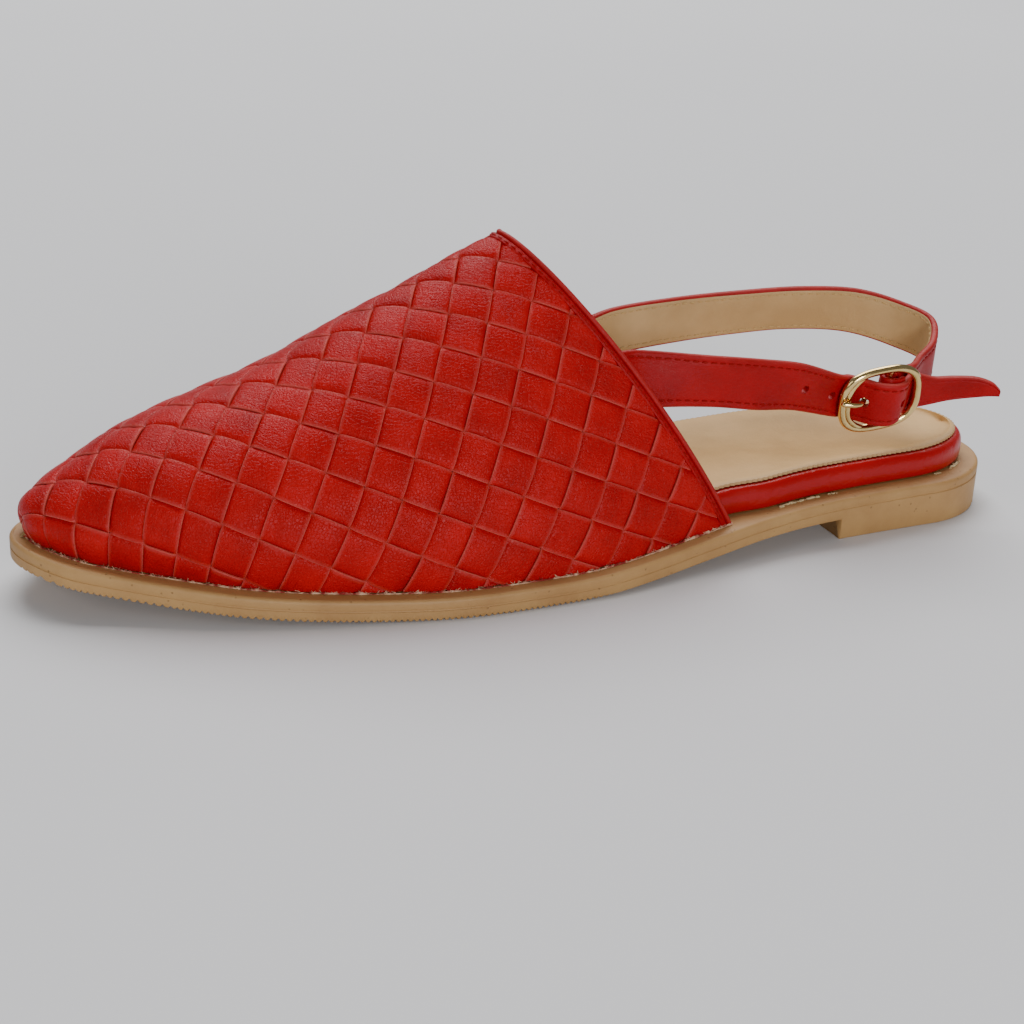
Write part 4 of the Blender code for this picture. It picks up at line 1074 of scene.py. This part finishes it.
def strap_frames(rows, count):
    """A strap's stations: centre, direction across, outward direction, width, sag of its middle, and run."""
    low, mid, high = (smooth_path([row[k] for row in rows], count) for k in range(3))
    across = unit(high - low)
    out = unit(np.cross(np.gradient(mid, axis=0), across))
    sag = ((mid - (low + high) / 2) * out).sum(axis=1)
    width = np.linalg.norm(high - low, axis=1)
    return {"centre": (low + high) / 2, "across": across, "out": out, "width": width, "sag": sag, "mid": mid,
            "run": run_of(mid)}


def on_strap(frames, place, through):
    """Points on a strap: place across as a share of its width from its middle, and height through it."""
    place, through = np.broadcast_arrays(np.asarray(place, float), np.asarray(through, float))
    across = frames["across"][:, None] * (place * frames["width"][:, None])[..., None]
    bow = frames["sag"][:, None] * (1 - (2 * place) ** 2)
    return frames["centre"][:, None] + across + frames["out"][:, None] * (through + bow)[..., None]


def strap_profile():
    """A strap's section: a round-edged oblong, pressed in by a bell curve where its seams run, and a mark on
    its rounded edges where a pale highlight is painted.
    """
    half, soft = STRAP_THICKNESS / 2, 0.42 * STRAP_THICKNESS
    level = STRAP_WIDTH / 2 - soft
    turn = np.linspace(0, np.pi / 2, 5)
    flat = np.linspace(-1, 1, 34)[1:-1] * level
    edge = [(level + soft * np.sin(t), half - soft + soft * np.cos(t)) for t in turn]
    right = edge + [(x, -y) for x, y in edge[::-1]]
    left = [(-x, y) for x, y in right[::-1]]
    top = [(x, half) for x in flat]
    bottom = [(x, -half) for x in flat[::-1][::3]]
    ring = np.array(top + right + bottom + left)
    seams = np.exp(-(((np.abs(ring[:, 0]) - (STRAP_WIDTH / 2 - STRAP_SEAM)) / 0.00030) ** 2))
    ring[:, 1] -= np.where(ring[:, 1] > 0.9 * half, SEAM_SINK * seams, 0.0)
    return ring, np.clip((np.abs(ring[:, 0]) - level) / soft, 0, 1) ** 2


def make_skin(name, frames, made_of, stands_for):
    """A strap's closed skin: its section carried along its stations.

    Where the strap keeps its width its edges are moved, so that the seams stay as far from them; where it is
    narrower the whole section is drawn in.
    """
    ring, mark = strap_profile()
    x, width = ring[:, 0], frames["width"][:, None]
    keeps = (np.abs(x) > 0.3 * STRAP_WIDTH) & (width >= 0.985 * STRAP_WIDTH)
    moved = x + np.sign(x) * (width - STRAP_WIDTH) / 2
    spot = np.where(keeps, moved, x * np.minimum(1.0, width / STRAP_WIDTH))
    points, faces = lofted(on_strap(frames, spot / width, ring[:, 1]))
    run, height = np.broadcast_arrays(frames["run"][:, None], ring[:, 1])
    # The edge mark paints a pale highlight on the strap's rounded edges.
    marks = {"pattern": np.stack([run, spot, height], axis=-1).reshape(-1, 3),
             "edge": np.broadcast_to(mark, spot.shape).ravel()}
    return piece(name, points, faces, made_of, "strap_leather", (stands_for,), marks, sharp=60)


def strap_stitches(frames, through, start=0.0, end=None, outward=1):
    """Spots, ways and outward directions of the seams along a strap's edges."""
    rows = []
    for side in (-1, 1):
        place = side * (0.5 - STRAP_SEAM / frames["width"])
        line = on_strap(frames, place[:, None], np.full((len(place), 1), through))[:, 0]
        run = run_of(line)
        at = np.arange(start + STITCH_PITCH, (end or run[-1]) - STITCH_PITCH, STITCH_PITCH)
        way = unit(read_path(np.gradient(line, axis=0), run, at))
        rows.append((read_path(line, run, at), way, outward * unit(read_path(frames["out"], run, at))))
    return tuple(np.concatenate([row[k] for row in rows]) for k in range(3))


def make_sling(leather, lining, thread, pale_thread):
    """The heel strap: a red skin, a beige lining inside it, and both seams on both faces."""
    frames = strap_frames(sling_rows(), 620)
    frames["out"], frames["sag"] = -frames["out"], -frames["sag"]
    make_skin("sling_skin", frames, leather, "sling_strap")
    half = STRAP_THICKNESS / 2
    sheet_ring = np.array([(-0.448, 0.0), (-0.452, -0.12), (-0.44, -0.25)]
                          + [(x, -0.28) for x in np.linspace(-0.41, 0.41, 22)]
                          + [(0.44, -0.25), (0.452, -0.12), (0.448, 0.0)])
    sheet_ring[:, 1] = -half + 0.1 * MM + sheet_ring[:, 1] * MM
    dip = np.exp(-(((np.abs(sheet_ring[:, 0]) - (0.5 - STRAP_SEAM / STRAP_WIDTH)) / 0.018) ** 2))
    place = sheet_ring[None, :, 0] + 0 * frames["width"][:, None]
    inside = on_strap(frames, place, sheet_ring[:, 1] + 0.00010 * dip)
    piece("sling_lining", *lofted(inside), lining, "sock_leather")
    outside = stitches(*strap_stitches(frames, half - 0.8 * SEAM_SINK), STITCH_LENGTH, STITCH_WIDTH)
    piece("sling_stitches", *outside, thread, "strap_leather")
    within = stitches(*strap_stitches(frames, -half - 0.14 * MM, outward=-1), STITCH_LENGTH, STITCH_WIDTH)
    piece("sling_lining_stitches", *within, pale_thread, "sock_leather")


def make_sling_fold(leather):
    """The strap's end round the middle bar: a band on a half circle and two short legs, slit for a prong."""
    middle = BAR_WIRE / 2 + GAP + FOLD_THICKNESS / 2
    turn = np.linspace(-0.5, -1.5, 28) * np.pi
    legs = [(0.0042, -middle - 0.0004), (0.0020, -middle)]
    u = np.concatenate([[k[0] for k in legs], middle * np.cos(turn), [0.0020, 0.0036]])
    w = np.concatenate([[k[1] for k in legs], middle * np.sin(turn), [middle - 0.0001, middle - 0.0010]])
    normal = unit(np.stack([-np.gradient(w), np.gradient(u)], axis=1))
    slit = PRONG_WIRE / 2 + 2 * GAP
    parts = []
    for low, high in ((-STRAP_WIDTH / 2, -slit), (slit, STRAP_WIDTH / 2)):
        soft = 0.0004
        box = np.array([(low, -1), (low + soft, -1), (high - soft, -1), (high, -1), (high, 0), (high, 1),
                        (high - soft, 1), (low + soft, 1), (low, 1), (low, 0)], float)
        box[:, 1] *= np.where(np.isin(np.arange(10), (0, 3, 5, 8)), 0.55, 1.0) * FOLD_THICKNESS / 2
        at_u = u[:, None] + normal[:, :1] * box[None, :, 1]
        at_w = w[:, None] + normal[:, 1:] * box[None, :, 1]
        points = in_buckle(BAR_SHIFT + at_u, at_w, box[None, :, 0] + 0 * at_u)
        parts.append(lofted(points))
    points, faces = joined(parts)
    return piece("sling_fold", points, faces, leather, "strap_leather", marks={"pattern": points})


def make_front(leather, thread):
    """The punched strap with its round edges, four holes cut through it, and its seams."""
    frames = strap_frames(front_rows(), 560)
    strap = make_skin("front_skin", frames, leather, "front_strap")
    run, mid, out = frames["run"], frames["mid"], frames["out"]
    along = (mid - in_buckle(0, 0)) @ buckle_axes()[1]
    prong_at = np.interp(BAR_SHIFT - PRONG_REACH, along, run)
    spots = prong_at + HOLE_PITCH * np.arange(-HOLES_BEFORE, HOLES_AFTER + 1)
    centres, ways = read_path(mid, run, spots), unit(read_path(out, run, spots))
    sides = 28
    turn = np.arange(sides) * 2 * np.pi / sides
    parts = []
    for number, (centre, way) in enumerate(zip(centres, ways)):
        radius = PRONG_WIRE / 2 + 2 * GAP if number == HOLES_BEFORE else HOLE_RADIUS
        one = unit(np.cross(way, [0.0, 0.0, 1.0]))
        two = np.cross(way, one)
        ring = radius * (np.cos(turn)[:, None] * one + np.sin(turn)[:, None] * two)
        parts.append(lofted(np.stack([centre - 0.004 * way + ring, centre + 0.004 * way + ring])))
    punch = bpy.data.meshes.new("punches")
    punch_points, punch_faces = joined(parts)
    punch.from_pydata(punch_points.tolist(), [], punch_faces)
    work = bmesh.new()
    work.from_mesh(punch)
    bmesh.ops.recalc_face_normals(work, faces=work.faces)
    work.to_mesh(punch)
    work.free()
    punches = bpy.data.objects.new("punches", punch)
    bpy.context.scene.collection.objects.link(punches)
    cut = strap.modifiers.new("punched", "BOOLEAN")
    cut.operation, cut.object, cut.solver = "DIFFERENCE", punches, "EXACT"
    bpy.context.view_layer.update()
    done = bpy.data.meshes.new_from_object(strap.evaluated_get(bpy.context.evaluated_depsgraph_get()))
    strap.modifiers.clear()
    strap.data = done
    bpy.data.objects.remove(punches)
    half = STRAP_THICKNESS / 2
    start, end = 0.012, float(run[-1]) - 0.020
    before = np.interp(-side_bar_u() - 0.001, along, run)
    clear = []
    for first, last in ((start, before), (before + 0.0035, end)):
        clear.append(strap_stitches(frames, half - 0.8 * SEAM_SINK, start=first, end=last))
    joined_rows = tuple(np.concatenate([part[k] for part in clear]) for k in range(3))
    piece("front_stitches", *stitches(*joined_rows, STITCH_LENGTH, STITCH_WIDTH), thread, "strap_leather")


# Buckle

def tilted(u, h):
    """Places in the buckle turned in its own plane, about the middle bar."""
    cos, sin = np.cos(FRAME_TILT), np.sin(FRAME_TILT)
    return BAR_SHIFT + (u - BAR_SHIFT) * cos - h * sin, (u - BAR_SHIFT) * sin + h * cos


def frame_loop(count):
    """Places round the buckle's frame: a superellipse, as arrays along and across."""
    turn = np.linspace(0, 2 * np.pi, count, endpoint=False)
    cos, sin = np.cos(turn), np.sin(turn)
    u = (FRAME_LENGTH - FRAME_WIRE) / 2 * np.sign(cos) * np.abs(cos) ** (2 / FRAME_FULLNESS)
    h = (FRAME_WIDTH - FRAME_WIRE) / 2 * np.sign(sin) * np.abs(sin) ** (2 / FRAME_FULLNESS)
    loop = np.stack([np.append(u, u[0]), np.append(h, h[0])], axis=1)
    run = run_of(loop)
    return read_path(loop, run, np.linspace(0, run[-1], count, endpoint=False)).T


def make_buckle(made_of):
    """The frame: a round wire on a superellipse, a second strand along its front end, and the middle bar."""
    _, _, facing, _ = buckle_axes()
    u, h = tilted(*frame_loop(240))
    parts = [tube(in_buckle(u, 0 * u, h), FRAME_WIRE / 2, 20, facing, closed=True)]
    span = np.linspace(-1, 1, 60)
    strand_u = -side_bar_u() + 0.0013 + 0.0052 * np.abs(span) ** 3.2
    strand_h = (FRAME_WIDTH / 2 - FRAME_WIRE / 2 - 0.0004) * span
    strand_u, strand_h = tilted(strand_u, strand_h)
    strand = in_buckle(strand_u, 0.00035 - 0.0003 * span**2, strand_h)
    parts.append(tube(strand, 0.00088 - 0.0002 * np.abs(span) ** 6, 16, facing))
    across_frame = np.linspace(-1, 1, 12) * (FRAME_WIDTH - FRAME_WIRE) / 2
    bar = in_buckle(np.full(12, BAR_SHIFT), np.zeros(12), across_frame)
    parts.append(tube(bar, BAR_WIRE / 2, 16, facing))
    points, faces = joined(parts)
    return piece("buckle_wire", points, faces, made_of, "buckle_brass", ("buckle_frame",))


def make_prong(made_of):
    """The prong: a ring on the middle bar, then out through the strap's hole and down on the frame's end."""
    _, _, _, across = buckle_axes()
    ring = BAR_WIRE / 2 + GAP + PRONG_WIRE / 2
    turn = np.linspace(0, 2 * np.pi, 40, endpoint=False)
    loop = in_buckle(BAR_SHIFT + ring * np.cos(turn), ring * np.sin(turn))
    parts = [tube(loop, PRONG_WIRE / 2, 14, across, closed=True)]
    end, rest = side_bar_u(), FRAME_WIRE / 2 + PRONG_WIRE / 2 + GAP
    bends = [(BAR_SHIFT - ring, 0.0)]
    bends += [(BAR_SHIFT - PRONG_REACH + back * PRONG_WIRE, out * PRONG_WIRE) for back, out in PRONG]
    bends += [(-end, rest), (-end - PRONG_WIRE, 0.7 * rest)]
    path = smooth_path([in_buckle(u, w) for u, w in bends], 60)
    share = np.linspace(0, 1, 60)
    radius = PRONG_WIRE / 2 * np.sqrt(np.clip(1 - ((share - 0.93) / 0.07).clip(0, 1) ** 2, 0.02, 1))
    parts.append(tube(path, radius, 16, across))
    points, faces = joined(parts)
    return piece("buckle_pin", points, faces, made_of, "buckle_brass", ("buckle_prong",))


# Materials

def srgb(code):
    """Linear colour of an sRGB hex value."""
    parts = np.array([int(code[k : k + 2], 16) / 255 for k in (1, 3, 5)])
    linear = np.where(parts <= 0.04045, parts / 12.92, ((parts + 0.055) / 1.055) ** 2.4)
    return (*linear.tolist(), 1.0)


def add(tree, kind, sockets=(), **settings):
    """Adds a shader node: its settings, then its sockets' values, or links given as (node, output)."""
    made = tree.nodes.new("ShaderNode" + kind)
    for name, value in settings.items():
        setattr(made, name, value)
    for name, value in dict(sockets).items():
        if isinstance(value, tuple) and isinstance(value[0], bpy.types.Node):
            tree.links.new(value[0].outputs[value[1]], made.inputs[name])
        else:
            made.inputs[name].default_value = value
    return made


def blank(name, **values):
    """A new material, its tree, and its shader with plain values on its own sockets."""
    made = bpy.data.materials.new(name)
    made.use_nodes = True
    tree = made.node_tree
    shader = tree.nodes["Principled BSDF"]
    for socket, value in values.items():
        shader.inputs[socket.replace("_", " ")].default_value = value
    return made, tree, shader


def clouded(tree, place, size, detail, dark, pale, low=0.0, high=1.0, roughness=0.5):
    """A tone that wanders between two colours in clouds of that size; low and high are its noise's bounds."""
    cloud = add(tree, "TexNoise", {"Vector": place, "Scale": 1 / size, "Detail": detail,
                                   "Roughness": roughness})
    fade = add(tree, "MapRange", {"Value": (cloud, "Fac"), "From Min": low, "From Max": high})
    return add(tree, "Mix", {0: (fade, 0), 6: srgb(dark), 7: srgb(pale)}, data_type="RGBA"), cloud


def coat(tree, shader, tone, heights=()):
    """Joins a tone to the shader, and a chain of bumps: each a height's node and output, and its depth."""
    tree.links.new(tone.outputs[2], shader.inputs["Base Color"])
    bump = None
    for height, depth in heights:
        sockets = {"Height": height, "Strength": 1.0, "Distance": depth}
        if bump:
            sockets["Normal"] = (bump, "Normal")
        bump = add(tree, "Bump", sockets)
    if bump:
        tree.links.new(bump.outputs["Normal"], shader.inputs["Normal"])


def leather(name, tones, roughness, grain, grain_height, crease, crease_height, edge_highlight_share):
    """Drum-dyed, lightly finished goat leather: a pebbled, softly creased red, with a pale painted highlight
    on its edges.

    Pebble grain is a cell pattern, creases are a stretched noise, and the dye is a little uneven. Cut and
    folded edges are marked on the mesh; there the colour is mixed towards pale pink as a painted highlight.
    """
    made, tree, shader = blank(name, Roughness=roughness, IOR=1.5, Specular_IOR_Level=0.16)
    place = (add(tree, "Attribute", attribute_name="pattern"), "Vector")
    cloud = add(tree, "TexNoise", {"Vector": place, "Scale": 1 / 0.011, "Detail": 3.0, "Roughness": 0.6})
    dye = add(tree, "ValToRGB", {"Fac": (cloud, "Fac")})
    ramp = dye.color_ramp.elements
    ramp.new(0.5)
    for stop, at, tone in zip(ramp, (0.30, 0.50, 0.72), tones):
        stop.position, stop.color = at, srgb(tone)
    # Painted highlight: where the mesh marks an edge, the colour is mixed towards pale pink.
    edge = add(tree, "Attribute", attribute_name="edge")
    share = add(tree, "Math", {0: (edge, "Fac"), 1: edge_highlight_share}, operation="MULTIPLY")
    colour = add(tree, "Mix", {0: (share, 0), 6: (dye, "Color"), 7: srgb("#C86258")}, data_type="RGBA")
    pebble = add(tree, "TexVoronoi", {"Vector": place, "Scale": 1 / grain, "Randomness": 1.0},
                 feature="DISTANCE_TO_EDGE")
    rounded = add(tree, "Math", {0: (pebble, "Distance"), 1: 0.16}, operation="MINIMUM")
    stretch = add(tree, "Mapping", {"Vector": place, "Scale": (1.0, 2.6, 1.0), "Rotation": (0, 0, 0.5)})
    folds = add(tree, "TexNoise", {"Vector": (stretch, "Vector"), "Scale": 1 / crease, "Detail": 4.0,
                                   "Roughness": 0.55, "Distortion": 0.6})
    coat(tree, shader, colour, [((rounded, 0), grain_height / 0.16), ((folds, "Fac"), crease_height)])
    gloss = add(tree, "MapRange", {"Value": (folds, "Fac"), "From Min": 0.3, "From Max": 0.7,
                                   "To Min": roughness - 0.05, "To Max": roughness + 0.07})
    tree.links.new(gloss.outputs[0], shader.inputs["Roughness"])
    return made


def soft_leather(name, deep, light, edge_colour):
    """Undyed beige lining leather: matt, with a clouded tone, fine pores and a darker cut edge."""
    made, tree, shader = blank(name, Roughness=0.62, IOR=1.45)
    place = (add(tree, "TexCoord"), "Object")
    tone, _ = clouded(tree, place, 0.018, 5.0, deep, light, 0.35, 0.68, 0.55)
    edge = add(tree, "Attribute", attribute_name="edge")
    colour = add(tree, "Mix", {0: (edge, "Fac"), 6: (tone, 2), 7: srgb(edge_colour)}, data_type="RGBA")
    pores = add(tree, "TexNoise", {"Vector": place, "Scale": 1 / 0.0006, "Detail": 3.0})
    folds = add(tree, "TexNoise", {"Vector": place, "Scale": 1 / 0.006, "Detail": 2.0, "Distortion": 1.0})
    coat(tree, shader, colour, [((pores, "Fac"), 0.00008), ((folds, "Fac"), 0.0003)])
    return made


def raised_fibre():
    """Torn leather fibre with dried contact glue: matt, pale pink where the dye has not reached."""
    made, tree, shader = blank("raised_leather_fibre", Roughness=0.85, Specular_IOR_Level=0.2)
    place = (add(tree, "TexCoord"), "Object")
    coat(tree, shader, clouded(tree, place, 0.0022, 3.0, "#943430", "#D8B294", 0.42, 0.58)[0])
    return made


def dried_glue():
    """Dried rubber cement: cream, a little glossy, clouded."""
    made, tree, shader = blank("dried_cream_glue", Roughness=0.4, Specular_IOR_Level=0.4)
    place = (add(tree, "TexCoord"), "Object")
    coat(tree, shader, clouded(tree, place, 0.0012, 3.0, "#B8A070", "#DCCBA4")[0])
    return made


def painted_shade_backing():
    """Woven cotton tape glued behind the strips; its dark red is painted shade, seen only in the gaps between
    them.
    """
    made, tree, shader = blank("backing_sheet_in_painted_shade", Roughness=0.9, Specular_IOR_Level=0.1)
    place = (add(tree, "TexCoord"), "Object")
    # Painted shade: the sheet's dark red stands for the shade in the gaps between the strips.
    coat(tree, shader, clouded(tree, place, 0.0008, 2.0, "#3A0204", "#560406")[0])
    return made


def wrap_leather():
    """Coated lining leather stretched over the board's rim: glossier and smoother than the strips."""
    values = {"Roughness": 0.32, "IOR": 1.5, "Specular_IOR_Level": 0.32}
    made, tree, shader = blank("stretched_coated_leather", **values)
    place = (add(tree, "TexCoord"), "Object")
    tone, _ = clouded(tree, place, 0.012, 4.0, "#9A0208", "#AC040C")
    pull = add(tree, "TexNoise", {"Vector": place, "Scale": 1 / 0.0035, "Detail": 4.0, "Distortion": 0.8})
    pores = add(tree, "TexNoise", {"Vector": place, "Scale": 1 / 0.0005, "Detail": 2.0})
    coat(tree, shader, tone, [((pores, "Fac"), 0.00004), ((pull, "Fac"), 0.00022)])
    return made


def sole_rubber():
    """Moulded thermoplastic rubber: matt tan, with a faint cloud of tone, and fine pits darkened with painted
    shade.
    """
    made, tree, shader = blank("moulded_tan_rubber", Roughness=0.55, IOR=1.5)
    place = (add(tree, "TexCoord"), "Object")
    tone, _ = clouded(tree, place, 0.020, 6.0, "#A47A48", "#B8905A", 0.33, 0.68, 0.6)
    pits = add(tree, "TexVoronoi", {"Vector": place, "Scale": 1 / 0.0026, "Randomness": 1.0})
    spot = add(tree, "MapRange", {"Value": (pits, "Distance"), "From Min": 0.05, "From Max": 0.13})
    # Painted shade: the pits' centres are mixed to a darker tan.
    colour = add(tree, "Mix", {0: (spot, 0), 6: srgb("#8C6638"), 7: (tone, 2)}, data_type="RGBA")
    skin = add(tree, "TexNoise", {"Vector": place, "Scale": 1 / 0.0007, "Detail": 4.0})
    coat(tree, shader, colour, [((skin, "Fac"), 0.00010), ((spot, 0), 0.00010)])
    return made


def gilt_brass():
    """Cast and polished brass with a thin pale gold plating: mirror-like, with faint polishing waves."""
    made, tree, shader = blank("polished_gilt_brass", Metallic=1.0, Roughness=0.14)
    place = (add(tree, "TexCoord"), "Object")
    tone, waves = clouded(tree, place, 0.0022, 2.0, "#D9B56C", "#EBD29A")
    coat(tree, shader, tone, [((waves, "Fac"), 0.00006)])
    return made


def thread(name, dark, pale):
    """Bonded polyester sewing thread: a satin twist, drawn as fine slanting bands of painted shade and
    highlight.
    """
    made, tree, shader = blank(name, Roughness=0.6, Specular_IOR_Level=0.15)
    place = (add(tree, "TexCoord"), "Object")
    # Painted shade and highlight: the twist's bands alternate between the dark and the pale colour.
    twist = add(tree, "TexWave", {"Vector": place, "Scale": 1 / 0.0012, "Distortion": 1.5})
    tone = add(tree, "Mix", {0: (twist, "Fac"), 6: srgb(dark), 7: srgb(pale)}, data_type="RGBA")
    coat(tree, shader, tone)
    return made


def studio_paper():
    """Matt pale grey background paper with a barely visible cloud of tone."""
    made, tree, shader = blank("studio_paper", Roughness=0.9)
    place = (add(tree, "TexCoord"), "Object")
    coat(tree, shader, clouded(tree, place, 0.5, 2.0, "#D6D6D8", "#DBDBDD")[0])
    return made


# Stage

def make_floor(made_of):
    """A wide level sheet under the shoe."""
    mesh = bpy.data.meshes.new("floor")
    corners = [(x * FLOOR_HALF, y * FLOOR_HALF, 0) for x, y in ((-1, -1), (1, -1), (1, 1), (-1, 1))]
    mesh.from_pydata(corners, [], [(0, 1, 2, 3)])
    mesh.materials.append(made_of)
    floor = bpy.data.objects.new("floor", mesh)
    bpy.context.scene.collection.objects.link(floor)


def make_camera():
    """The photograph's camera: its back direction from azimuth and elevation, then turned about it."""
    level = np.cos(CAMERA_ELEVATION)
    back = np.array([np.sin(CAMERA_AZIMUTH) * level, -np.cos(CAMERA_AZIMUTH) * level,
                     np.sin(CAMERA_ELEVATION)])
    right = unit(np.cross([0.0, 0.0, 1.0], back))
    up = np.cross(back, right)
    turned_right = np.cos(CAMERA_ROLL) * right + np.sin(CAMERA_ROLL) * up
    turned_up = np.cos(CAMERA_ROLL) * up - np.sin(CAMERA_ROLL) * right
    data = bpy.data.cameras.new("camera")
    data.lens, data.sensor_width, data.sensor_fit = CAMERA_LENS, 36.0, "HORIZONTAL"
    data.clip_start = 0.01
    camera = bpy.data.objects.new("camera", data)
    place = np.eye(4)
    place[:3] = np.column_stack([turned_right, turned_up, back, CAMERA_TARGET + CAMERA_DISTANCE * back])
    camera.matrix_world = Matrix(place.tolist())
    bpy.context.scene.collection.objects.link(camera)
    bpy.context.scene.camera = camera


def make_light(name, place, size, power):
    """A square white soft box that faces the shoe."""
    data = bpy.data.lights.new(name, "AREA")
    data.shape, data.size, data.energy = "SQUARE", size, power
    lamp = bpy.data.objects.new(name, data)
    lamp.location = place
    lamp.rotation_euler = (Vector(place) - Vector(LIGHT_AIM)).to_track_quat("Z", "Y").to_euler()
    bpy.context.scene.collection.objects.link(lamp)


def make_studio():
    """The soft boxes and an even pale surround."""
    for name, place, size, power in LIGHTS:
        make_light(name, place, size, power)
    world = bpy.data.worlds.new("surround")
    world.use_nodes = True
    world.node_tree.nodes["Background"].inputs["Color"].default_value = (0.80, 0.80, 0.82, 1.0)
    world.node_tree.nodes["Background"].inputs["Strength"].default_value = 0.22
    bpy.context.scene.world = world


def main():
    """Builds every piece in a maker's order, sole first."""
    strip = leather("woven_goat_leather", ("#9E0208", "#AC040B", "#BA080E"), roughness=0.38, grain=0.00075,
                    grain_height=0.00006, crease=0.0016, crease_height=0.00024, edge_highlight_share=0.55)
    strap = leather("strap_goat_leather", ("#90020A", "#9C030D", "#A80510"), roughness=0.42, grain=0.00050,
                    grain_height=0.000025, crease=0.0014, crease_height=0.00010, edge_highlight_share=0.30)
    red_thread = thread("dark_red_thread", "#7E0406", "#9A080A")
    pale_thread = thread("beige_thread", "#B49460", "#D8B882")
    lining = soft_leather("beige_lining_leather", "#BC9C6C", "#CEAE7E", "#6E5232")
    sock = soft_leather("beige_sock_leather", "#C89E62", "#DAB074", "#B89668")
    make_camera()
    make_floor(studio_paper())
    make_studio()
    make_outsole(sole_rubber())
    make_footbed(wrap_leather())
    make_insole(sock)
    form = vamp_form()
    woven_set(form, True, strip, "weave_to_outer", ("upper",))
    woven_set(form, False, strip, "weave_to_inner")
    make_layer(form, "vamp_backing", painted_shade_backing(), "woven_leather", BACKING_TOP, BACKING_FOOT)
    make_layer(form, "vamp_lining", lining, "sock_leather", LINING_TOP, LINING_FOOT)
    make_feather(raised_fibre())
    make_glue(dried_glue())
    make_binding(form, strap)
    make_binding_stitches(form, red_thread)
    make_sling(strap, lining, red_thread, pale_thread)
    make_sling_fold(strap)
    make_front(strap, red_thread)
    gilt = gilt_brass()
    make_buckle(gilt)
    make_prong(gilt)


main()
